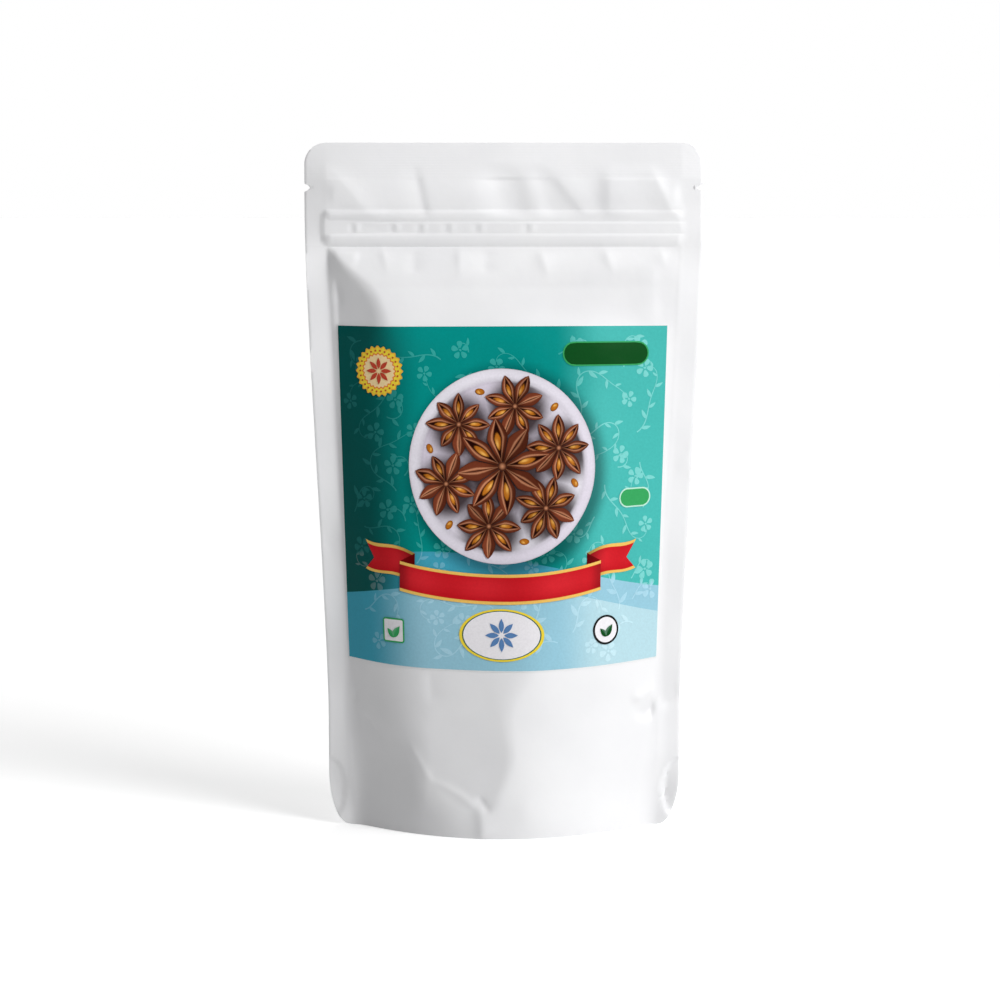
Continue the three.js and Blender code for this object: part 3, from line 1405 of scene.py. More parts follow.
def round_patch(around: int, radii: tuple[float, ...], edge: Outline, colour: Dye) -> Motif:
    """A round motif with rings at given shares of its radius.

    Args:
        around: Faces around it.
        radii: The rings' shares of the radius, from 0 at the middle to 1.
        edge: Gives the radius for each angle.
        colour: Gives a colour for each share of the radius and angle.

    Returns:
        The motif, centred on its origin.
    """
    rings = np.array(radii)

    def place(u: Array, v: Array) -> Places:
        """Places on the rings, from shares of the turn and of the way out."""
        reach, turn = step_of(rings, v) * edge(u * math.tau), u * math.tau
        return reach * np.cos(turn), reach * np.sin(turn)

    return patch(around, len(rings) - 1, place, lambda u, v: colour(step_of(rings, v), u * math.tau))


@dataclass
class Print:
    """One printed piece of the label: motifs on one level, with their colours."""

    sheet: LabelSheet
    name: str
    level: float
    motifs: list[Motif]
    thickness: float = 0.03
    smooth_angle: float = 35.0
    cuts: Pair | None = None
    recolour: Dye | None = None

    def joined(self) -> Piece:
        """Make one flat object of all the motifs.

        Returns:
            The object, selected and active.
        """
        starts = np.cumsum([0] + [len(motif.points) for motif in self.motifs])
        points = np.concatenate([motif.points for motif in self.motifs])
        faces = [
            tuple(start + corner for corner in face)
            for start, motif in zip(starts, self.motifs)
            for face in motif.faces
        ]
        mesh = bpy.data.meshes.new(self.name)
        mesh.from_pydata(np.column_stack((points, np.zeros(len(points)))).tolist(), [], faces)
        write_ink(mesh, np.concatenate([motif.colours for motif in self.motifs]))
        piece = bpy.data.objects.new(self.name, mesh)
        bpy.context.scene.collection.objects.link(piece)
        activate(piece)
        return piece

    def cut(self, piece: Piece) -> None:
        """Cut the piece into small cells, so that it can bend with the film.

        Args:
            piece: The flat object.
        """
        points = points_of(piece)
        low, high = points.min(axis=0), points.max(axis=0)
        bpy.ops.object.mode_set(mode="EDIT")
        for axis, step in enumerate(self.cuts):
            normal = (1.0, 0.0, 0.0) if axis == 0 else (0.0, 1.0, 0.0)
            for number in range(math.ceil(low[axis] / step), math.ceil(high[axis] / step)):
                at = tuple(number * step * part for part in normal)
                bpy.ops.mesh.select_all(action="SELECT")
                bpy.ops.mesh.bisect(plane_co=at, plane_no=normal, threshold=CUT_SNAP)
        bpy.ops.object.mode_set(mode="OBJECT")

    def build(self, finish: PrintFinish) -> Piece:
        """Join, thicken and colour the motifs, and lay them on the pouch.

        Args:
            finish: The print's finish.

        Returns:
            The finished piece.
        """
        piece = self.joined()
        if self.cuts:
            self.cut(piece)
        if self.recolour:
            write_ink(piece.data, self.recolour(*points_of(piece)[:, :2].T))
        thicken(piece, self.thickness, 1.0)
        flat = points_of(piece)
        flat[:, 2] += self.level
        set_points(piece, self.sheet.lay(flat))
        finish_mesh(piece, self.smooth_angle, finish.material())
        return attach(piece)


# ---- the label's artwork


class Tone:
    """The artwork's colours."""

    # the darker and lighter teal and blue inks also serve as the ground's painted shade at its left and
    # painted light at its right
    TEAL = (0.001, 0.265, 0.24)
    TEAL_DEEP = (0.0005, 0.088, 0.08)
    TEAL_LIT = (0.065, 0.47, 0.435)
    BLUE = (0.055, 0.36, 0.49)
    BLUE_PALE = (0.3, 0.56, 0.68)
    BLUE_PALE_LIT = (0.46, 0.68, 0.75)
    RED = (0.5, 0.004, 0.01)
    RED_LIT = (0.68, 0.02, 0.03)
    RED_DARK = (0.1, 0.0, 0.001)
    GOLD = (0.85, 0.52, 0.12)
    CREAM = (0.86, 0.66, 0.35)
    YELLOW = (0.86, 0.66, 0.05)
    ORANGE = (0.75, 0.2, 0.04)
    BRICK = (0.5, 0.06, 0.03)
    WHITE = (0.84, 0.82, 0.85)
    GREY_BLUE = (0.1, 0.22, 0.45)
    GREEN = (0.04, 0.36, 0.11)
    GREEN_DARK = (0.004, 0.07, 0.012)
    MINT = (0.5, 0.8, 0.66)
    BLACK = (0.012, 0.012, 0.012)
    DISH = (0.62, 0.55, 0.66)
    DISH_LIT = (0.82, 0.79, 0.86)
    GAP = (0.016, 0.002, 0.001)
    WOOD = (0.2, 0.046, 0.02)
    WOOD_DARK = (0.055, 0.01, 0.004)
    LIP = (0.62, 0.27, 0.14)
    SEED = (0.5, 0.16, 0.014)
    SEED_LIT = (0.95, 0.52, 0.12)


@dataclass(frozen=True)
class WaveLine:
    """A wavy line across the label: its height and swing, where it starts, its pace and its fall."""

    height: float
    swing: float
    start: float
    pace: float
    fall: float

    def at(self, s: Array) -> Array:
        """Height of the line at places across."""
        return self.height + self.swing * np.sin((s + self.start) / self.pace) - self.fall * s


@dataclass(frozen=True)
class Ground:
    """The label's fields of colour: teal, and two waves of blue along its foot, with painted shade towards
    the left and painted light towards the right.
    """

    width: float = 110.3
    low: float = 0.35
    high: float = 107.65
    disc_at: Pair = (0.0, 64.0)
    disc_radius: float = 30.5
    # places across the label where the painted shade is full and where it ends, and where the painted light
    # starts and where it is full
    painted_shade_and_light: tuple[float, float, float, float] = (-46.0, -24.0, 17.0, 34.0)
    upper: WaveLine = WaveLine(30.0, 6.5, 64.0, 30.0, 0.03)
    lower: WaveLine = WaveLine(21.0, 6.0, 44.0, 27.0, 0.05)
    rows: tuple[int, int, int] = (12, 5, 40)

    def shadow(self, s: Array, t: Array) -> Array:
        """Strength of the disc's soft shadow."""
        off = np.hypot(s - self.disc_at[0] - 1.6, t - self.disc_at[1] + 1.8)
        return 0.6 * (1.0 - smooth((off - self.disc_radius + 1.0) / 6.0))

    def shaded_and_lit(self, s: Array, deep: Colour, full: Colour, light: Colour) -> Array:
        """An ink with painted shade towards the left and painted light towards the right, as the key light
        falls from the right.

        Args:
            s: Places across the label.
            deep: Its colour in the painted shade at the left.
            full: Its colour in the middle.
            light: Its colour in the painted light at the right.

        Returns:
            One colour for each place.
        """
        dark_end, dark_start, light_start, light_end = self.painted_shade_and_light
        left = smooth((s - dark_end) / (dark_start - dark_end))
        right = smooth((s - light_start) / (light_end - light_start))
        return mixed(mixed(deep, full, left), light, right)

    def colour(self, s: Array, t: Array) -> Array:
        """The ground's colour, with its painted shade and light and the disc's soft shadow.

        Args:
            s: Places across the label.
            t: Places up the label.

        Returns:
            One colour for each place.
        """
        # each field is darkened by painted shade at the left and lightened by painted light at the right
        teal = self.shaded_and_lit(s, Tone.TEAL_DEEP, Tone.TEAL, Tone.TEAL_LIT)
        blue = self.shaded_and_lit(s, Tone.TEAL_DEEP, Tone.BLUE, Tone.BLUE_PALE)
        pale = self.shaded_and_lit(s, Tone.BLUE, Tone.BLUE_PALE, Tone.BLUE_PALE_LIT)
        above = t > self.upper.at(s) - 1e-3
        between = t > self.lower.at(s) - 1e-3
        base = np.where(above[:, None], teal, np.where(between[:, None], blue, pale))
        return base * (1.0 - self.shadow(s, t))[:, None]

    def vine_colour(self, s: Array, t: Array) -> Array:
        """The colour of the ornament over the ground: a little lighter than what it lies on, with the same
        painted shade and light.

        Args:
            s: Places across the label.
            t: Places up the label.

        Returns:
            One colour for each place.
        """
        over = (t > self.upper.at(s))[:, None]
        # the lift also has painted shade at the left and painted light at the right
        lift = self.shaded_and_lit(s, (0.01, 0.05, 0.05), (0.035, 0.12, 0.11), (0.13, 0.16, 0.16))
        lift = np.where(over, lift, 0.09)
        return self.colour(s, t) + lift * (1.0 - self.shadow(s, t))[:, None]

    def motifs(self) -> list[Motif]:
        """Three fields that meet along the waves.

        Returns:
            The pale, the mid and the teal field.
        """
        foot, head = WaveLine(self.low, 0.0, 0.0, 1.0, 0.0), WaveLine(self.high, 0.0, 0.0, 1.0, 0.0)
        lines = (foot, self.lower, self.upper, head)
        fields = []
        for under, over, rows in zip(lines, lines[1:], self.rows):

            def place(u: Array, v: Array) -> Places:
                """Places between the two lines."""
                s = (u - 0.5) * self.width
                return s, blend(under.at(s), over.at(s), v)

            def colour(u: Array, v: Array) -> Array:
                """Colours, taken just inside the field's own lines."""
                return self.colour(*place(u, blend(0.01, 0.99, v)))

            fields.append(patch(110, rows, place, colour))
        return fields


@dataclass(frozen=True)
class Vine:
    """One stem of the ornament: it swings as it runs, and may curl up at its end."""

    at: Pair
    heading: float
    length: float
    swing: float = 0.7
    wave: float = 26.0
    curl: float = 0.0
    leaf: float = 3.6
    width: float = 0.42

    def path(self) -> Array:
        """Points along the stem, half a millimetre apart.

        Returns:
            One row for each point.
        """
        run = np.arange(0.0, self.length, 0.5)
        turn = math.radians(self.heading) + self.swing * np.sin(run * math.tau / self.wave)
        turn = turn + self.curl * (run / self.length) ** 2 * 4.0
        steps = 0.5 * np.column_stack((np.cos(turn), np.sin(turn)))
        return np.asarray(self.at) + np.cumsum(steps, axis=0)

    def stem(self) -> Motif:
        """The stem as a strip that thins towards its end.

        Returns:
            The strip.
        """
        path = self.path()
        along = np.gradient(path, axis=0)
        side = np.column_stack((-along[:, 1], along[:, 0]))
        side /= np.linalg.norm(side, axis=1)[:, None]

        def place(u: Array, v: Array) -> Places:
            """Places to both sides of the stem's path."""
            half = self.width * (1.0 - 0.6 * u) * (v - 0.5)
            return tuple((step_of(path, u) + step_of(side, u) * half[:, None]).T)

        return patch(len(path) - 1, 1, place, lambda u, v: plain(Tone.TEAL, u))


@dataclass
class Ornament:
    """Fine scrolling stems with leaves and five-petalled flowers, all over the ground."""

    ground: Ground
    seed: int = 3
    tries: int = 2600
    longest: float = 34.0
    shortest: float = 7.0
    gap: float = 4.0
    margin: float = 3.0
    bends: Pair = (0.3, 1.15)
    leaf_sizes: Pair = (3.2, 4.3)
    leaf_pitch: int = 7
    leaf_shares: Pair = (0.75, 1.15)
    leaf_leans: Pair = (0.6, 0.95)
    petal_sizes: Pair = (1.9, 2.7)

    def sown(self, draw: np.random.Generator) -> list[Vine]:
        """Stems that fill the ground and keep clear of each other and of the disc.

        Args:
            draw: The source of the seeded random draws.

        Returns:
            The stems, long ones first.
        """
        vines: list[Vine] = []
        filled = np.array([(1000.0, 1000.0)])
        half = self.ground.width / 2.0 - self.margin
        low, high = self.ground.low + self.margin, self.ground.high - self.margin
        for attempt in range(self.tries):
            start = (draw.uniform(-half, half), draw.uniform(low, high))
            length = blend(self.longest, self.shortest, (attempt / self.tries) ** 0.7)
            bend = draw.choice((-1.0, 1.0)) * draw.uniform(*self.bends)
            size = draw.uniform(*self.leaf_sizes)
            vine = Vine(start, draw.uniform(0.0, 360.0), length, curl=bend, leaf=size)
            path = vine.path()[::3]
            if np.abs(path[:, 0]).max() > half or path[:, 1].min() < low or path[:, 1].max() > high:
                continue
            off_disc = np.hypot(*(path - np.asarray(self.ground.disc_at)).T)
            gaps = np.linalg.norm(path[:, None] - filled[None], axis=2)
            if off_disc.min() > self.ground.disc_radius - self.margin and gaps.min() > self.gap:
                vines.append(vine)
                filled = np.vstack((filled, path))
        return vines

    def leaf(self) -> Motif:
        """A pointed leaf, one unit long, that starts at its origin.

        Returns:
            The leaf.
        """
        deselect_all()
        bpy.ops.mesh.primitive_circle_add(vertices=14, radius=0.5, fill_type="NGON")
        motif = taken(made("leaf"))
        along = motif.points[:, 0] + 0.5
        width = 0.36 * np.sin(math.pi * along**0.8) ** 0.9
        side = np.sign(motif.points[:, 1])
        bow = 0.16 * along * (1.0 - along)
        motif.points = np.column_stack((along, side * width / 2.0 + bow))
        return motif

    def petal(self) -> Motif:
        """A round petal, one unit long.

        Returns:
            The petal.
        """
        deselect_all()
        bpy.ops.mesh.primitive_circle_add(vertices=12, radius=0.5, fill_type="NGON")
        motif = taken(made("petal"))
        along = motif.points[:, 0] + 0.5
        motif.points = np.column_stack((along, motif.points[:, 1] * (0.35 + 0.75 * along)))
        return motif

    def flower(self, petal: Motif, at: Pair, size: float, start: float) -> list[Motif]:
        """Five petals round a small dot.

        Args:
            petal: A petal of one unit.
            at: The flower's middle.
            size: The length of a petal.
            start: The angle of the first petal.

        Returns:
            The flower's motifs.
        """
        turns = start + np.arange(5) * math.tau / 5.0
        shapes = [petal.placed(polar(at, 0.28 * size, turn), turn, size) for turn in turns]
        return shapes + [petal.placed((at[0] - 0.2 * size, at[1]), 0.0, 0.4 * size)]

    def motifs(self) -> list[Motif]:
        """All the stems, leaves and flowers that lie on the ground.

        Returns:
            The shapes, stem by stem.
        """
        leaf, petal = self.leaf(), self.petal()
        draw = np.random.default_rng(self.seed)
        shapes = []
        for vine in self.sown(draw):
            shapes.append(vine.stem())
            path = vine.path()
            for number in range(4, len(path) - 5, self.leaf_pitch):
                way = path[number + 1] - path[number]
                turn = math.atan2(way[1], way[0])
                side = 1 if (number // self.leaf_pitch) % 2 else -1
                size = vine.leaf * draw.uniform(*self.leaf_shares) * (1.0 - 0.35 * number / len(path))
                lean = turn + side * draw.uniform(*self.leaf_leans)
                shapes.append(leaf.placed(tuple(path[number]), lean, size, mirror=side < 0))
            bloom = draw.uniform(*self.petal_sizes)
            shapes += self.flower(petal, tuple(path[-1]), bloom, draw.uniform(0.0, math.tau))
        return [shape for shape in shapes if self.inside(shape)]

    def inside(self, shape: Motif) -> bool:
        """Whether a shape lies wholly on the ground.

        Args:
            shape: The shape.

        Returns:
            True if all its points lie on the ground.
        """
        s, t = shape.points.T
        half = self.ground.width / 2.0 - 0.3
        low, high = self.ground.low + 0.3, self.ground.high - 0.3
        return bool(np.all(np.abs(s) < half) and np.all(t > low) and np.all(t < high))


@dataclass(frozen=True)
class Ribbon:
    """A bare red ribbon with gold edges: a band that hangs in a curve, and a tail behind each end."""

    at: Pair = (0.0, 29.0)
    half: float = 33.0
    height: float = 9.4
    arch: float = -3.4
    tail_half: float = 46.0
    tail_start: float = 28.0
    tail_rise: float = 3.6
    notch: float = 3.4
    gold: float = 0.1

    def middle(self, s: Array) -> Array:
        """Height of the band's middle line."""
        return self.at[1] + self.arch * (1.0 - (s / self.half) ** 2)

    def dyed(self, u: Array, v: Array) -> Array:
        """Red that is brightest along the middle, with a gold line along both edges.

        Args:
            u: Shares along the ribbon.
            v: Shares of its height.

        Returns:
            One colour for each place.
        """
        sheen = 0.5 + 0.5 * np.cos((u - 0.42) * 3.0 * math.tau)
        red = mixed(Tone.RED, Tone.RED_LIT, clamp01(1.0 - (2.0 * v - 1.1) ** 2) * (0.55 + 0.45 * sheen))
        shade = 1.0 - 0.45 * smooth((np.abs(2.0 * u - 1.0) - 0.86) / 0.14)
        edge = (np.minimum(v, 1.0 - v) < self.gold).astype(float)[:, None]
        return np.asarray(Tone.GOLD) * edge + red * (1.0 - edge) * shade[:, None]

    def strip(self, start: float, end: float, rise: float) -> Motif:
        """A length of ribbon, with a notch in its far end if it is a tail.

        Args:
            start: Where it starts, across.
            end: Where it ends, across.
            rise: How far it lies above the band's line, or 0 for the band itself.

        Returns:
            The motif.
        """
        rows = np.array((0.0, 0.09, 0.11, 0.3, 0.5, 0.7, 0.89, 0.91, 1.0))
        notch = self.notch if rise else 0.0

        def place(u: Array, v: Array) -> Places:
            """The place of each point of the strip.

            Args:
                u: Shares along it.
                v: Shares of its height.

            Returns:
                Places across and up.
            """
            share = step_of(rows, v)
            s = start + (end - start) * u
            s = s - math.copysign(notch, end - start) * u * (1.0 - np.abs(2.0 * share - 1.0))
            wave = 0.9 * np.sin(u * math.tau * 0.8) * bool(rise)
            return s + self.at[0], self.middle(s) + rise + wave + (share - 0.5) * self.height

        def colour(u: Array, v: Array) -> Array:
            """The colour of each point, darker where a tail starts behind the band."""
            shade = np.reshape(1.0 - 0.6 * (1.0 - smooth(u / 0.5)) * bool(rise), (-1, 1))
            return self.dyed(0.5 + 0.3 * (u - 0.5) if rise else u, step_of(rows, v)) * shade

        return patch(56, len(rows) - 1, place, colour)

    def fold(self, side: float) -> Motif:
        """The dark underside that shows where the band turns back into its tail.

        Args:
            side: -1 for the left end and 1 for the right.

        Returns:
            The motif.
        """

        def place(u: Array, v: Array) -> Places:
            """The place of each point of the fold.

            Args:
                u: Shares along it.
                v: Shares of its height.

            Returns:
                Places across and up.
            """
            s = side * blend(self.tail_start, self.half, u)
            high = self.middle(s) + self.height / 2.0
            return s + self.at[0], high + self.tail_rise * v * (1.0 - u)

        return patch(6, 2, place, lambda u, v: mixed(Tone.RED_DARK, Tone.RED, 0.25 * u))

    def tails(self) -> list[Motif]:
        """Both tails."""
        ends = ((side * self.tail_start, side * self.tail_half) for side in (-1.0, 1.0))
        return [self.strip(start, end, self.tail_rise) for start, end in ends]

    def band(self) -> list[Motif]:
        """The band."""
        return [self.strip(-self.half, self.half, 0.0)]

    def folds(self) -> list[Motif]:
        """The folds at both ends."""
        return [self.fold(-1.0), self.fold(1.0)]


@dataclass(frozen=True)
class StarPod:
    """One star anise pod, seen from above: boat-shaped carpels, split open over their seeds."""

    at: Pair
    radius: float
    turn: float
    seed: int
    carpels: int = 8
    plump: float = 0.2
    fine: int = 1
    lengths: Pair = (0.86, 1.05)
    bend: float = 0.09
    tints: Pair = (0.75, 1.2)
    gapes: tuple[float, ...] = (0.12, 0.4, 0.46)
    gape_odds: tuple[float, ...] = (0.2, 0.4, 0.4)
    least_gape: float = 0.2
    plumps: Pair = (0.9, 1.12)
    hub: float = 0.1
    knob: float = 0.095

    def carpel(self, draw: np.random.Generator, turn: float) -> Motif:
        """One carpel that points along a direction.

        Args:
            draw: Source of the small differences between carpels.
            turn: Its direction, in radians.

        Returns:
            The carpel, placed in the dish.
        """
        length = self.radius * draw.uniform(*self.lengths)
        bend = draw.uniform(-self.bend, self.bend)
        tint = draw.uniform(*self.tints)
        open_width = draw.choice(self.gapes, p=self.gape_odds)
        plump = self.plump * draw.uniform(*self.plumps)
        places = np.array((-1.0, -0.82, -0.66, -0.56, -0.46, -0.34, -0.18, 0.0))
        places = np.concatenate((places, -places[-2::-1]))
        steps = np.linspace(0.0, len(places) - 1.0, (len(places) - 1) * self.fine + 1)
        places = np.interp(steps, np.arange(len(places)), places)

        def place(u: Array, v: Array) -> Places:
            """The place of each point: a boat that starts at the pod's middle.

            Args:
                u: Shares of its length.
                v: Shares of its width.

            Returns:
                Places along and across it.
            """
            reach = blend(self.hub, 1.0, u)
            boat = plump * (np.sin(math.pi * reach**1.15) ** 0.75 + 0.05 * (1.0 - reach))
            half = np.minimum(boat, 0.39 * reach)
            return reach * length, (step_of(places, v) * half + bend * reach**3) * length

        def colour(u: Array, v: Array) -> Array:
            """The colour of each point: lit walls, pale lips, a dark gap and perhaps a seed.

            Args:
                u: Shares of its length.
                v: Shares of its width.

            Returns:
                One colour for each point.
            """
            side, reach = step_of(places, v), blend(self.hub, 1.0, u)
            gape = open_width * np.sin(math.pi * clamp01((reach - 0.12) / 0.86)) ** 0.6
            lit = 0.5 + 0.5 * np.sin(turn) * np.sign(side)
            wall = mixed(Tone.WOOD_DARK, Tone.WOOD, 0.25 + 0.75 * lit)
            lip_at = np.exp(-(((np.abs(side) - gape - 0.1) / 0.1) ** 2))
            shade = mixed(wall, Tone.LIP, clamp01(lip_at) * (0.65 + 0.35 * lit))
            hollow = 1.0 - smooth((np.abs(side) - gape + 0.12) / 0.1)
            shade = mixed(shade, Tone.GAP, hollow)
            seed = 1.0 - smooth(np.hypot((reach - 0.52) / 0.2, side / 0.34) * 4.0 - 3.0)
            shine = np.exp(-(np.hypot((reach - 0.47) / 0.08, (side - 0.1) / 0.14) ** 2))
            kernel = mixed(Tone.SEED, Tone.SEED_LIT, shine)
            deep = 0.45 + 0.55 * smooth((reach - 0.12) / 0.3)
            deep = deep * (1.0 - 0.3 * smooth((np.abs(side) - 0.8) / 0.2))
            return mixed(shade, kernel, seed * (open_width > self.least_gape)) * tint * deep[:, None]

        return patch(14 * self.fine, len(places) - 1, place, colour).placed(self.at, turn)

    def motifs(self) -> list[Motif]:
        """All the pod's carpels, and the knob where they meet.

        Returns:
            The carpels and the knob.
        """
        draw = np.random.default_rng(self.seed)
        turns = self.turn + np.arange(self.carpels) * math.tau / self.carpels

        def colour(r: Array, turn: Array) -> Array:
            """Darker towards the knob's edge."""
            return mixed(Tone.LIP, Tone.WOOD_DARK, clamp01(r * 1.2))

        knob = round_patch(16, (0.0, 0.4, 0.7, 1.0), circle(self.knob * self.radius), colour)
        return [self.carpel(draw, turn) for turn in turns] + [knob.placed(self.at)]


@dataclass(frozen=True)
class Disc:
    """A round lilac-white disc with a raised rim, and a ring of star anise round a larger one."""

    at: Pair
    radius: float
    middle_size: float = 15.4
    ring_size: float = 10.5
    ring_radius: float = 19.2
    ring_count: int = 6
    ring_start: float = 0.3
    seed_radius: float = 24.6

    def ring(self) -> list[StarPod]:
        """The smaller pods, evenly round the disc.

        Returns:
            The pods.
        """
        pods = []
        for number in range(self.ring_count):
            at = polar(self.at, self.ring_radius, self.ring_start + number * math.tau / self.ring_count)
            pods.append(StarPod(at, self.ring_size, 0.4 * number, seed=number + 1))
        return pods

    def middle(self) -> StarPod:
        """The large pod."""
        return StarPod(self.at, self.middle_size, 0.19, seed=5, fine=2)

    def shade(self, s: Array, t: Array) -> Array:
        """Strength of the soft shadow that the pods throw on the disc.

        Args:
            s: Places across the label.
            t: Places up the label.

        Returns:
            The strength at each place, 0 to 1.
        """
        dark = np.zeros_like(s)
        for pod in (self.middle(), *self.ring()):
            off = np.hypot(s - pod.at[0] - 0.8, t - pod.at[1] + 1.0) / pod.radius
            dark = np.maximum(dark, 1.0 - smooth((off - 0.62) / 0.6))
        return dark

    def plate(self) -> list[Motif]:
        """The disc itself: a bright rim, and a field that is shaded under the pods.

        Returns:
            The disc.
        """
        rings = np.concatenate((np.linspace(0.0, 0.84, 22), (0.86, 0.89, 0.925, 0.96, 0.985, 1.0)))

        def colour(r: Array, turn: Array) -> Array:
            """The colour at each share of the radius and angle.

            Args:
                r: Shares of the radius.
                turn: Angles.

            Returns:
                One colour for each.
            """
            towards = 0.5 + 0.5 * np.cos(turn + 0.7)
            field_tone = mixed(Tone.DISH, Tone.DISH_LIT, 0.25 + 0.75 * towards * smooth((r - 0.3) / 0.5))
            reach = r * self.radius
            s, t = self.at[0] + reach * np.cos(turn), self.at[1] + reach * np.sin(turn)
            field_tone = mixed(field_tone, Tone.GAP, 0.93 * self.shade(s, t))
            rim = mixed(Tone.DISH, Tone.DISH_LIT, 1.0 - 0.5 * towards)
            groove = 1.0 - 0.22 * np.exp(-(((r - 0.875) / 0.018) ** 2))
            edge = 1.0 - 0.25 * smooth((r - 0.975) / 0.03)
            return mixed(field_tone, rim, smooth((r - 0.86) / 0.04)) * (edge * groove)[:, None]

        return [round_patch(96, tuple(rings), circle(self.radius), colour).placed(self.at)]

    def loose_seeds(self) -> list[Motif]:
        """A seed that has dropped out between each two pods of the ring.

        Returns:
            The seeds.
        """

        def colour(r: Array, turn: Array) -> Array:
            """Glossy brown, with a highlight to one side."""
            shine = np.exp(-(((r - 0.35) / 0.25) ** 2)) * clamp01(np.cos(turn - 0.9))
            return mixed(Tone.SEED, Tone.SEED_LIT, shine) * (1.0 - 0.5 * r**3)[:, None]

        seed = round_patch(18, (0.0, 0.3, 0.6, 0.85, 1.0), oval(1.6, 1.0), colour)
        shapes = []
        for number in range(self.ring_count):
            turn = self.ring_start + (number + 0.5) * math.tau / self.ring_count
            reach = self.seed_radius + 0.6 * math.cos(2.0 * number)
            shapes.append(seed.placed(polar(self.at, reach, turn), turn + 1.1 * number))
        return shapes


@dataclass(frozen=True)
class Tile:
    """A rounded tile: its middle, its width and height, its corner radius and its outline's width."""

    at: Pair
    size: Pair
    corner: float
    line: float


@dataclass(frozen=True)
class SmallMarks:
    """The label's small bare marks: plaque, seal, badge, corner tile and two pills."""

    plaque_at: Pair = (0.0, 11.4)
    plaque_half: Pair = (13.6, 8.2)
    seal_at: Pair = (-40.5, 93.5)
    seal_radius: float = 8.2
    seal_teeth: float = 24.0
    seal_dots: int = 26
    seal_dot_ring: float = 6.55
    seal_dot: float = 0.32
    badge_at: Pair = (35.0, 11.5)
    badge_radius: float = 4.7
    corner_tile: Tile = Tile((-35.5, 11.5), (7.8, 7.8), 0.9, 0.5)
    side_pill: Tile = Tile((45.0, 53.0), (11.5, 6.2), 3.1, 0.45)
    top_pill: Tile = Tile((34.5, 99.0), (29.0, 7.6), 3.8, 0.4)
    tile_halvings: int = 30
    rosette_petals: int = 8
    plaque_rosette: float = 5.2
    seal_rosette: float = 4.3
    leaf_length: float = 4.4
    short_leaf: float = 0.8
    leaf_turns: Pair = (58.0, 128.0)

    def rosette(self, at: Pair, size: float, tone: Colour) -> list[Motif]:
        """A ring of pointed petals.

        Args:
            at: Its middle.
            size: Its radius.
            tone: Its colour.

        Returns:
            The petals.
        """

        def place(u: Array, v: Array) -> Places:
            """A petal of one unit that points along its own length."""
            return 0.16 + 0.84 * u, (v - 0.5) * 0.32 * np.sin(math.pi * u**0.9)

        petal = patch(8, 2, place, lambda u, v: plain(tone, u))
        turns = np.arange(self.rosette_petals) * math.tau / self.rosette_petals + math.pi / 2.0
        return [petal.placed(at, turn, size) for turn in turns]

    def banded(self, r: Array, lines: tuple[float, ...], bands: tuple[Colour | Array, ...]) -> Array:
        """Rings of colour.

        Args:
            r: Shares of the radius.
            lines: Where the second and later rings start.
            bands: The rings' colours, from the middle out.

        Returns:
            One colour for each share.
        """
        pick = sum((r > line).astype(int) for line in lines)
        return np.choose(pick[:, None], [np.broadcast_to(band, (len(r), 3)) for band in bands])

    def plaque(self) -> list[Motif]:
        """An off-white oval with a yellow outline.

        Returns:
            The oval.
        """
        rings = (0.0, 0.3, 0.6, 0.9, 0.905, 0.93, 0.935, 0.995, 1.0)

        def colour(r: Array, turn: Array) -> Array:
            """White, a thin dark line and yellow."""
            return self.banded(r, (0.902, 0.932), (Tone.WHITE, Tone.TEAL_DEEP, Tone.YELLOW))

        return [round_patch(64, rings, oval(*self.plaque_half), colour).placed(self.plaque_at)]

    def plaque_mark(self) -> list[Motif]:
        """A small rosette on the plaque."""
        return self.rosette(self.plaque_at, self.plaque_rosette, Tone.GREY_BLUE)

    def seal(self) -> list[Motif]:
        """A yellow seal with a toothed edge.

        Returns:
            The seal.
        """
        rings = (0.0, 0.35, 0.66, 0.67, 0.72, 0.73, 0.86, 0.87, 0.9, 1.0)

        def edge(turn: Array) -> Array:
            """The radius, with teeth."""
            return self.seal_radius * (0.955 + 0.045 * np.cos(turn * self.seal_teeth))

        def colour(r: Array, turn: Array) -> Array:
            """Cream, an orange line, yellow, and a rim that darkens outwards."""
            rim = mixed(Tone.YELLOW, Tone.ORANGE, 0.6 * smooth((r - 0.87) / 0.13))
            return self.banded(r, (0.665, 0.725, 0.865), (Tone.CREAM, Tone.ORANGE, Tone.YELLOW, rim))

        return [round_patch(192, rings, edge, colour).placed(self.seal_at)]

    def seal_mark(self) -> list[Motif]:
        """A rosette in the seal, and a ring of dots round it.

        Returns:
            The dots and the petals.
        """
        dot = round_patch(8, (0.0, 1.0), circle(self.seal_dot), lambda r, turn: plain(Tone.BRICK, r))
        turns = np.arange(self.seal_dots) * math.tau / self.seal_dots
        ring = [dot.placed(polar(self.seal_at, self.seal_dot_ring, turn)) for turn in turns]
        return ring + self.rosette(self.seal_at, self.seal_rosette, Tone.BRICK)

    def badge(self) -> list[Motif]:
        """A white disc in a black ring.

        Returns:
            The disc.
        """

        def colour(r: Array, turn: Array) -> Array:
            """White, and black from the ring on."""
            return mixed(Tone.WHITE, Tone.BLACK, (r > 0.855).astype(float))

        rings = (0.0, 0.5, 0.85, 0.86, 1.0)
        return [round_patch(40, rings, circle(self.badge_radius), colour).placed(self.badge_at)]

    def sprig(self, foot: Pair, drop: float, tone: Colour) -> list[Motif]:
        """Two leaves that spring from one foot.

        Args:
            foot: The middle of the mark that they stand in.
            drop: How far their foot lies below it.
            tone: Their colour.

        Returns:
            The leaves.
        """

        def place(u: Array, v: Array) -> Places:
            """A bowed leaf of one unit."""
            return u, (v - 0.5) * 0.5 * np.sin(math.pi * u**0.8) + 0.12 * u * (1.0 - u)

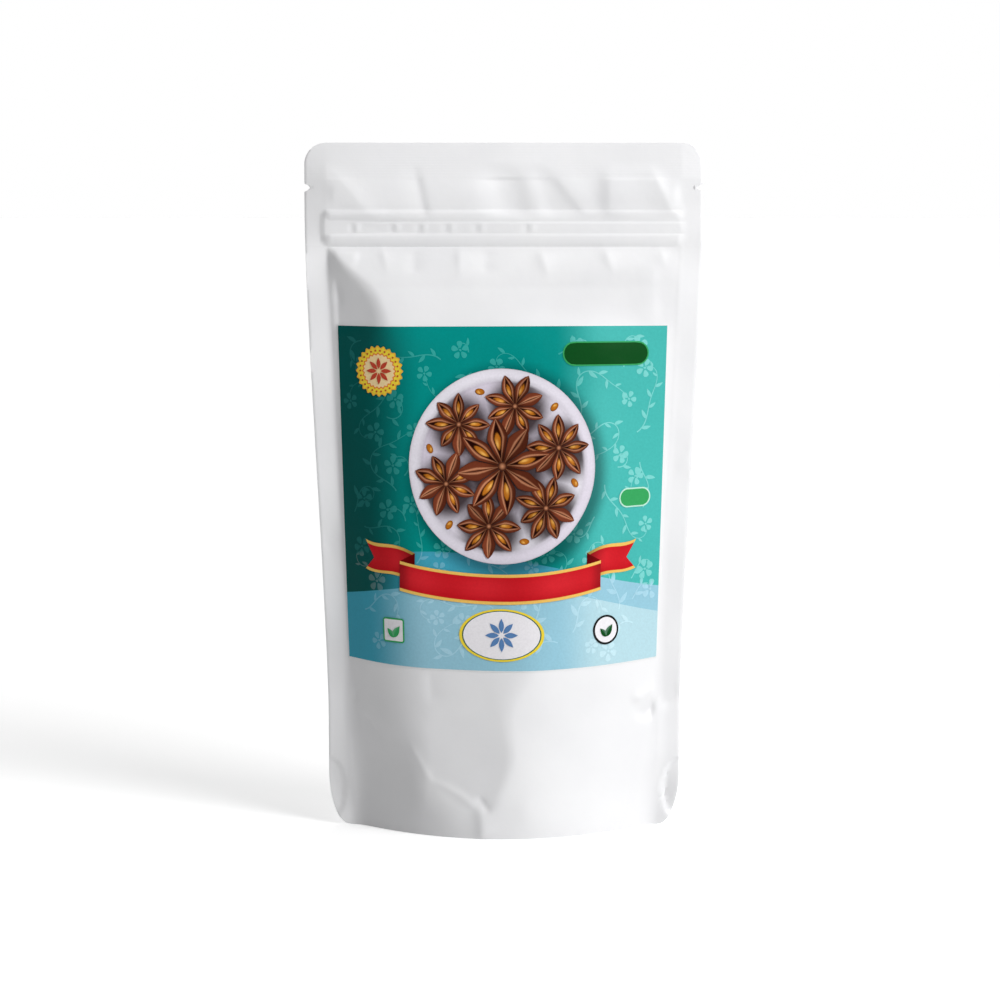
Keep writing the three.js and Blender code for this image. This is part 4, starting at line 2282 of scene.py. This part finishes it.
        leaf = patch(8, 2, place, lambda u, v: mixed(tone, Tone.MINT, 0.25 * (v > 0.6)))
        at, (right, left) = (foot[0], foot[1] - drop), self.leaf_turns
        short = self.short_leaf * self.leaf_length
        return [
            leaf.placed(at, math.radians(right), self.leaf_length),
            leaf.placed(at, math.radians(left), short, mirror=True),
        ]

    def sprigs(self) -> list[Motif]:
        """The leaves in the badge and in the corner tile."""
        in_badge = self.sprig(self.badge_at, 2.2, Tone.GREEN_DARK)
        return in_badge + self.sprig(self.corner_tile.at, 2.3, Tone.GREEN)

    def rounded(self, tile: Tile, inner: Colour, outer: Colour) -> Motif:
        """A rounded tile with an outline of even width.

        Args:
            tile: Its place and sizes.
            inner: Its colour.
            outer: The outline's colour.

        Returns:
            The tile.
        """
        # 0 is the tile's middle, 1 the outline's inner edge and 2 its outer edge
        rings = np.array((0.0, 0.5, 0.995, 1.0, 2.0))
        wide, tall = tile.size

        def edge(turn: Array, inset: float) -> Array:
            """Distance from the middle to the tile's edge.

            Args:
                turn: Directions.
                inset: How far the edge is moved in.

            Returns:
                The distance in each direction, found by halving.
            """
            low, high = np.zeros_like(turn), np.full_like(turn, wide)
            for _ in range(self.tile_halvings):
                reach = (low + high) / 2.0
                over_x = np.maximum(np.abs(reach * np.cos(turn)) - wide / 2.0 + tile.corner, 0.0)
                over_y = np.maximum(np.abs(reach * np.sin(turn)) - tall / 2.0 + tile.corner, 0.0)
                outside = np.hypot(over_x, over_y) > tile.corner - inset
                low, high = np.where(outside, low, reach), np.where(outside, reach, high)
            return low

        def place(u: Array, v: Array) -> Places:
            """Places across and up.

            Args:
                u: Shares of the turn.
                v: Shares of the way out.

            Returns:
                Places across and up.
            """
            turn, out = u * math.tau, step_of(rings, v)
            inside = edge(turn, tile.line)
            reach = inside * np.minimum(out, 1.0) + (edge(turn, 0.0) - inside) * clamp01(out - 1.0)
            return reach * np.cos(turn), reach * np.sin(turn)

        def colour(u: Array, v: Array) -> Array:
            """The outline's colour from its inner edge on, else the tile's."""
            return mixed(inner, outer, (step_of(rings, v) > 0.999).astype(float))

        return patch(96, len(rings) - 1, place, colour).placed(tile.at)

    def tiles(self) -> list[Motif]:
        """The corner tile and both pills.

        Returns:
            The three tiles.
        """
        return [
            self.rounded(self.corner_tile, Tone.WHITE, Tone.GREEN),
            self.rounded(self.side_pill, Tone.GREEN, Tone.MINT),
            self.rounded(self.top_pill, Tone.GREEN_DARK, Tone.GREEN),
        ]


@dataclass(frozen=True)
class PrintFinish:
    """Printed ink under a thin satin lacquer, coloured by the artwork."""

    name: str = "printed_ink"
    specular: float = 0.05
    gloss: Pair = (0.3, 0.38)
    gloss_cloud: float = 300.0
    fleck: float = 1400.0
    fleck_shade: Colour = (0.93, 0.93, 0.93)
    grain: float = 2500.0
    grain_depth: float = 0.000008

    def material(self) -> bpy.types.Material:
        """The one material that all the print shares.

        Returns:
            The material, made at the first call.
        """
        if self.name in bpy.data.materials:
            return bpy.data.materials[self.name]
        sheet = NodeSheet(bpy.data.materials.new(self.name))
        art = sheet.add("ShaderNodeAttribute", attribute_name=INK).outputs["Color"]
        fleck = sheet.tint(sheet.noise(self.fleck), self.fleck_shade, (1.0, 1.0, 1.0))
        colours = {"Factor": 1.0, "A": art, "B": fleck}
        dyed = sheet.add("ShaderNodeMix", colours, data_type="RGBA", blend_type="MULTIPLY")
        inputs = {
            "Base Color": dyed.outputs["Result"],
            "Specular IOR Level": self.specular,
            "Roughness": sheet.spread(sheet.noise(self.gloss_cloud), *self.gloss),
            "Normal": sheet.bump(sheet.noise(self.grain), self.grain_depth, 0.4),
        }
        return sheet.finish(inputs)


# ---- studio


@dataclass
class Studio:
    """A white room for the pouch: floor, one broad soft light from the right, camera in front."""

    camera_distance: float = 1.1
    camera_height: float = 0.208
    camera_aim: tuple[float, float, float] = (-0.0013, 0.0, 0.108)
    camera_lens: float = 120.75
    key_strength: float = 2.2
    key_angle: float = 30.0
    key_from: tuple[float, float, float] = (0.674, -0.606, 0.423)
    panel_power: float = 0.46
    panel_size: float = 0.25
    panel_at: tuple[float, float, float] = (0.195, -0.1125, 0.388)
    fill_level: float = 0.215
    fill_behind: float = 3.4
    fill_behind_lobe: float = 3.0
    fill_behind_from: tuple[float, float, float] = (0.82, 0.53, 0.2)
    floor_size: float = 60.0
    bounce: float = 0.45
    bounce_glow: float = 0.365
    shade: float = 0.85
    floor_glow: float = 0.43

    def floor(self) -> None:
        """Lay a large pale floor that glows a little, as a lit sweep does."""
        deselect_all()
        bpy.ops.mesh.primitive_plane_add(size=self.floor_size)
        plane = made("studio_floor")
        sheet = NodeSheet(bpy.data.materials.new("white_floor"))
        looks = {
            "Fac": sheet.add("ShaderNodeLightPath").outputs["Is Camera Ray"],
            1: self.glowing(sheet, self.bounce, self.bounce_glow),
            2: self.glowing(sheet, self.shade, self.floor_glow),
        }
        both = sheet.add("ShaderNodeMixShader", looks).outputs["Shader"]
        sheet.add("ShaderNodeOutputMaterial", {"Surface": both})
        plane.data.materials.append(sheet.owner)

    def glowing(self, sheet: NodeSheet, grey: float, glow: float) -> Socket:
        """A matt grey that also glows.

        Args:
            sheet: The node sheet that it is made on.
            grey: How much light it throws back.
            glow: How much light of its own it gives.

        Returns:
            The shader.
        """
        matt = sheet.add("ShaderNodeBsdfDiffuse", {"Color": (grey, grey, grey, 1.0)})
        light = sheet.add("ShaderNodeEmission", {"Strength": glow})
        both = {0: matt.outputs["BSDF"], 1: light.outputs["Emission"]}
        return sheet.add("ShaderNodeAddShader", both).outputs["Shader"]

    def light(self, kind: str, name: str, place: tuple[float, float, float]) -> bpy.types.Light:
        """Add a lamp that shines from its place towards the middle of the pouch.

        Args:
            kind: Blender's name for the kind of lamp.
            name: The lamp's name.
            place: Where it stands, in metres.

        Returns:
            The lamp's data, to set its strength and size.
        """
        deselect_all()
        bpy.ops.object.light_add(type=kind, location=place)
        lamp = bpy.context.object
        lamp.name = name
        lamp.visible_camera = False
        aim = Vector((0.0, 0.0, 0.0 if kind == "SUN" else 0.12))
        lamp.rotation_euler = (Vector(place) - aim).to_track_quat("Z", "Y").to_euler()
        return lamp.data

    def lights(self) -> None:
        """A broad soft key from the front right, and a small panel close above that shoulder."""
        key = self.light("SUN", "soft_key", self.key_from)
        key.energy = self.key_strength
        key.angle = math.radians(self.key_angle)
        panel = self.light("AREA", "soft_panel", self.panel_at)
        panel.energy = self.panel_power
        panel.shape = "SQUARE"
        panel.size = self.panel_size

    def surround(self) -> None:
        """White all round to look at, with its light coming mostly from behind the pouch."""
        sheet = NodeSheet(bpy.data.worlds.new("white_surround"))
        bpy.context.scene.world = sheet.owner
        way = sheet.add("ShaderNodeTexCoord").outputs["Generated"]
        aim = Vector(self.fill_behind_from).normalized()
        towards = sheet.add("ShaderNodeVectorMath", {0: way, 1: aim}, operation="DOT_PRODUCT")
        back = sheet.add("ShaderNodeSeparateXYZ", {"Vector": way}).outputs["Y"]
        soft = sheet.ranged(back, (-1.0, 1.0), (0.0, 2.0 * self.fill_level))
        behind = sheet.ranged(back, (0.0, 1.0), (0.0, self.fill_behind))
        lobe = sheet.ranged(towards.outputs["Value"], (0.0, 1.0), (0.0, 1.0))
        lobe = sheet.math("POWER", lobe, self.fill_behind_lobe)
        light = sheet.math("ADD", soft, sheet.math("MULTIPLY", behind, lobe))
        seen = sheet.add("ShaderNodeLightPath").outputs["Is Camera Ray"]
        strength = sheet.add("ShaderNodeMix", {"Factor": seen, "A": light, "B": 1.0}).outputs["Result"]
        glow = sheet.add("ShaderNodeBackground", {"Color": (1.0, 1.0, 1.0, 1.0), "Strength": strength})
        sheet.add("ShaderNodeOutputWorld", {"Surface": glow.outputs["Background"]})

    def camera(self) -> None:
        """Stand the camera in front of the pouch, a little above its middle."""
        data = bpy.data.cameras.new("front_camera")
        data.sensor_width = 36.0
        data.lens = self.camera_lens
        eye = bpy.data.objects.new("front_camera", data)
        bpy.context.scene.collection.objects.link(eye)
        eye.location = (self.camera_aim[0], -self.camera_distance, self.camera_height)
        way = Vector(self.camera_aim) - eye.location
        eye.rotation_euler = way.to_track_quat("-Z", "Y").to_euler()
        bpy.context.scene.camera = eye

    def build(self) -> None:
        """Set up the whole room, with plain colour handling."""
        scene = bpy.context.scene
        scene.view_settings.view_transform = "Standard"
        scene.view_settings.look = "None"
        self.floor()
        self.lights()
        self.surround()
        self.camera()


# ---- assembly


FRONT_FACETS = Facets(
    left=Course(
        (
            *((0.0, -28.2), (23.1, -28.2), (28.6, -29.8), (36.0, -32.2), (52.2, -34.3), (80.0, -37.8)),
            *((113.8, -39.8), (166.5, -40.0), (172.5, -41.5), (177.9, -44.8), (182.4, -49.8)),
            *((186.1, -53.4), (188.6, -56.0), (191.3, -57.4)),
        ),
        ease=2,
    ),
    right=Course(
        (
            *((0.0, -0.3), (13.0, -1.0), (21.9, 3.4), (27.9, 3.6), (42.4, 1.4), (50.3, 4.7)),
            *((66.1, 9.7), (80.0, 15.7), (113.8, 23.7), (146.6, 23.7), (168.5, 29.7), (190.4, 51.9)),
        ),
        ease=3,
    ),
    left_round=Course(
        (
            *((0.0, 1.6), (24.0, 2.2), (34.0, 5.0), (50.0, 9.0), (113.0, 11.0), (152.0, 6.0)),
            *((165.0, 1.3), (173.0, 1.3), (181.0, 3.2), (190.0, 2.4)),
        )
    ),
    right_round=Course(
        ((0.0, 0.6), (36.0, 0.8), (48.0, 1.6), (60.0, 5.0), (80.0, 7.0), (152.0, 4.0), (173.0, 2.0))
    ),
    swell=Course(((0.0, 0.0), (152.0, 0.0), (174.0, 2.4), (187.0, 2.8), (193.0, 1.0)), ease=3),
    crown=Course(((0.0, 0.4), (46.0, 0.4), (62.0, 1.2), (110.0, 1.4), (180.0, 0.8), (192.0, 0.0))),
    twist=Course(
        (
            *((0.0, 0.0), (14.0, 6.6), (24.0, 7.2), (50.0, 7.6), (70.0, 6.0), (120.0, 2.6)),
            *((158.0, 0.0), (168.0, -6.4), (183.0, -5.0), (190.0, 0.0)),
        )
    ),
    bulge=Course(((0.0, 0.7), (48.0, 0.7), (62.0, 0.5), (84.0, 0.1), (160.0, 0.0))),
)
BACK_FACETS = Facets(
    left=Course(((0.0, -12.0), (30.0, -22.0), (100.0, -34.0), (172.0, -42.0), (191.0, -55.0))),
    right=Course(((0.0, 8.0), (30.0, 18.0), (100.0, 30.0), (172.0, 36.0), (191.0, 54.0))),
    left_round=Course(((0.0, 4.0), (48.0, 12.0), (191.0, 4.0))),
    right_round=Course(((0.0, 3.0), (48.0, 10.0), (191.0, 4.0))),
    swell=Course(((0.0, 0.0), (150.0, 0.0), (177.0, 2.0), (193.0, 1.0))),
    crown=Course(((0.0, 0.6), (60.0, 2.4), (180.0, 0.8), (192.0, 0.0))),
    twist=Course(((0.0, 0.0), (30.0, -3.0), (90.0, -1.5), (170.0, 0.0))),
    bulge=Course(((0.0, 0.5), (48.0, 0.4), (160.0, 0.0))),
)
# small gathers just under the zip, wider further down: each with its power, lean and both fades
GATHERS = tuple(
    Fold(start, end, width, depth, power, lean, fade_in=fade_in, fade_out=fade_out)
    for start, end, width, depth, power, lean, fade_in, fade_out in (
        ((-41.0, 193.4), (-36.8, 180.0), 1.9, -0.42, 1.25, -0.35, 0.15, 0.7),
        ((-29.9, 191.4), (-28.9, 181.4), 2.4, 0.3, 1.6, 0.0, 0.3, 0.3),
        ((-14.7, 193.4), (-14.5, 178.4), 2.2, -0.42, 1.2, -0.4, 0.15, 0.7),
        ((-5.3, 191.8), (-6.3, 181.4), 3.0, 0.3, 1.6, 0.0, 0.3, 0.3),
        ((11.0, 191.4), (15.0, 180.0), 2.4, -0.45, 1.2, -0.35, 0.3, 0.6),
        ((31.8, 193.4), (36.4, 180.8), 2.6, -0.55, 1.2, -0.35, 0.15, 0.7),
        ((50.2, 193.4), (53.4, 183.0), 2.2, -0.5, 1.25, 0.0, 0.15, 0.6),
    )
)
LEFT_SHOULDER = Fold(
    (-55.6, 184.0), (-53.6, 163.0), 9.0, 0.8, power=1.5, lean=-0.45, fade_in=0.5, fade_out=0.2
)
# folds by their start, end, width and depth
FRONT_FOLDS = (
    # the slack header, between the zip and the top seal
    Fold((-58.8, 215.0), (-57.0, 203.0), 1.6, 0.25, fade_in=0.2, fade_out=0.2),
    *GATHERS,
    # the left shoulder
    Fold((-55.4, 181.5), (-53.0, 171.0), 1.6, 0.35, lean=0.3),
    Fold((-57.0, 189.8), (-46.5, 187.4), 2.0, -0.5),
    LEFT_SHOULDER,
    # the right shoulder
    Fold((48.6, 187.0), (48.8, 164.0), 4.0, -0.34, power=1.8, lean=0.4),
    # the lower panel
    Fold((-47.1, 38.4), (-38.9, 28.8), 0.75, 0.32, power=1.2),
    Fold((-51.3, 14.9), (-51.7, 6.1), 0.8, 0.4, power=1.3),
    Fold((-49.3, 47.1), (-48.8, 41.1), 1.0, 0.4, power=1.3),
    Fold((-24.2, 56.0), (-23.2, 42.0), 2.8, 0.34, lean=-0.2),
    Fold((-8.9, 14.4), (-4.3, 8.2), 1.1, 0.5, power=1.4),
    Fold((-7.7, 11.8), (-6.7, -2.0), 3.0, -0.8, power=1.6, lean=-0.3),
    Fold((-31.6, 31.0), (-22.4, 16.0), 1.1, -0.32, power=1.3, lean=0.3),
    Fold((-25.4, 18.6), (-6.6, 7.6), 1.5, -0.44, power=1.5, lean=0.3, bow=-1.6),
    Fold((42.8, 35.2), (54.6, 43.4), 2.4, 1.5, lean=0.2),
    Fold((41.2, 41.9), (53.6, 47.2), 2.2, -0.9),
)
BACK_FOLDS = (
    Fold((52.0, 189.0), (38.0, 163.0), 4.5, 1.6),
    Fold((-30.0, 189.0), (-20.0, 165.0), 5.0, 1.2),
    Fold((8.0, 189.0), (10.0, 176.0), 1.6, -0.6, power=1.4),
    Fold((-50.0, 48.0), (-36.0, 28.0), 5.0, 1.3, lean=0.3),
    Fold((30.0, 60.0), (47.0, 34.0), 4.0, 1.0, bow=2.0),
    Fold((-28.0, 120.0), (-6.0, 88.0), 6.0, 0.8, bow=-3.0),
    Fold((14.0, 18.0), (26.0, 10.0), 1.4, 0.5, power=1.3),
)
FIN_CRUMPLES = (
    Fold((50.5, 39.5), (60.0, 44.0), 2.6, 0.7, fade_in=0.4),
    Fold((-60.0, 92.0), (-53.0, 96.0), 4.0, 0.35),
    Fold((57.0, 121.0), (65.0, 117.0), 4.5, -0.4),
)
# waves of both films together in the slack header, from the top seal down to the zip: where each
# starts and ends across, its width, depth, power and lean
HEADER_WAVES = tuple(
    Fold((top, 224.0), (foot, 199.0), width, depth, power, lean, fade_in=0.1, fade_out=0.02)
    for top, foot, width, depth, power, lean in (
        (-62.8, -41.6, 4.2, -0.5, 1.5, 0.2),
        (-30.6, -25.0, 2.5, 0.44, 1.5, 0.5),
        (-2.3, 3.8, 7.0, 1.3, 2.2, 0.06),
        (8.9, 17.0, 5.2, 0.6, 2.0, -0.27),
        (9.4, 29.3, 3.6, -0.4, 1.8, -0.47),
        (34.6, 35.6, 7.0, -0.85, 2.0, -0.5),
        (44.7, 56.6, 3.6, -0.5, 1.5, 0.3),
    )
)


def pouch_form() -> PouchForm:
    """The pouch's form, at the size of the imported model.

    Returns:
        The form.
    """
    low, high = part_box("pouch")
    return PouchForm(
        height=high.z / MM,
        flat_width=(high.x - low.x) / MM,
        facets={Panel.FRONT: FRONT_FACETS, Panel.BACK: BACK_FACETS},
        folds={Panel.FRONT: FRONT_FOLDS, Panel.BACK: BACK_FOLDS},
        crumples=FIN_CRUMPLES,
        header_waves=HEADER_WAVES,
        ripples={Panel.FRONT: Ripple(seed=11, height=0.3), Panel.BACK: Ripple(seed=5, height=0.35)},
    )


def label_sheet(form: PouchForm) -> LabelSheet:
    """The label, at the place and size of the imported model's label.

    Args:
        form: The pouch that it lies on.

    Returns:
        The label's sheet.
    """
    low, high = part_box("label")
    return LabelSheet(
        form=form,
        low=low.z / MM + LabelSheet.sag,
        high=high.z / MM,
        half_low=50.8,
        half_high=(high.x - low.x) / MM / 2.0,
        middle=(high.x + low.x) / MM / 2.0,
    )


@dataclass
class Artwork:
    """All that is printed on the label, in layers from the ground up."""

    sheet: LabelSheet
    ground: Ground = Ground()
    ribbon: Ribbon = Ribbon()
    marks: SmallMarks = SmallMarks()
    vine_cells: Pair = (1.5, 3.0)
    level: float = 0.19
    step: float = 0.04
    clear: float = 0.06

    def layers(self) -> dict[str, list[Motif]]:
        """The motifs of each printed piece.

        Returns:
            The motifs by the piece's name, lowest first.
        """
        ground, ribbon, marks = self.ground, self.ribbon, self.marks
        disc = Disc(ground.disc_at, ground.disc_radius)
        fields = ribbon.tails() + marks.plaque() + marks.seal() + marks.badge() + marks.tiles()
        return {
            # the ground and the ornament carry painted shade at the left and painted light at the right
            "print_ground": ground.motifs(),
            "print_ornament": Ornament(ground).motifs(),
            "print_disc": disc.plate(),
            "print_fields": fields,
            "print_ribbon_folds": ribbon.folds() + disc.loose_seeds(),
            "print_ribbon": ribbon.band(),
            "print_marks": marks.plaque_mark() + marks.seal_mark() + marks.sprigs(),
            "print_pod_ring": [shape for pod in disc.ring() for shape in pod.motifs()],
            "print_pod_middle": disc.middle().motifs(),
        }

    def build(self, finish: PrintFinish) -> list[Piece]:
        """Print each layer a little higher than the one below it.

        Args:
            finish: The print's finish.

        Returns:
            The finished pieces.
        """
        pieces, level = [], self.level
        for name, motifs in self.layers().items():
            cells = self.vine_cells if name == "print_ornament" else None
            dye = self.ground.vine_colour if cells else None
            level += self.clear if name == "print_fields" else 0.0
            layer = Print(self.sheet, name, level, motifs, cuts=cells, recolour=dye)
            pieces.append(layer.build(finish))
            level += self.step
        return pieces


def report(piece: Piece) -> None:
    """Log a finished piece."""
    log.info("%s: %d faces", piece.name, len(piece.data.polygons))


def main() -> None:
    """Build the pouch, its label, the print and the studio, in this order."""
    logging.basicConfig(level=logging.INFO)
    form = pouch_form()
    report(FilmPouch(form, FilmFinish()).build())
    label = label_sheet(form)
    report(label.build(LabelPaper()))
    for piece in Artwork(label).build(PrintFinish()):
        report(piece)
    Studio().build()


if __name__ == "__main__":
    main()
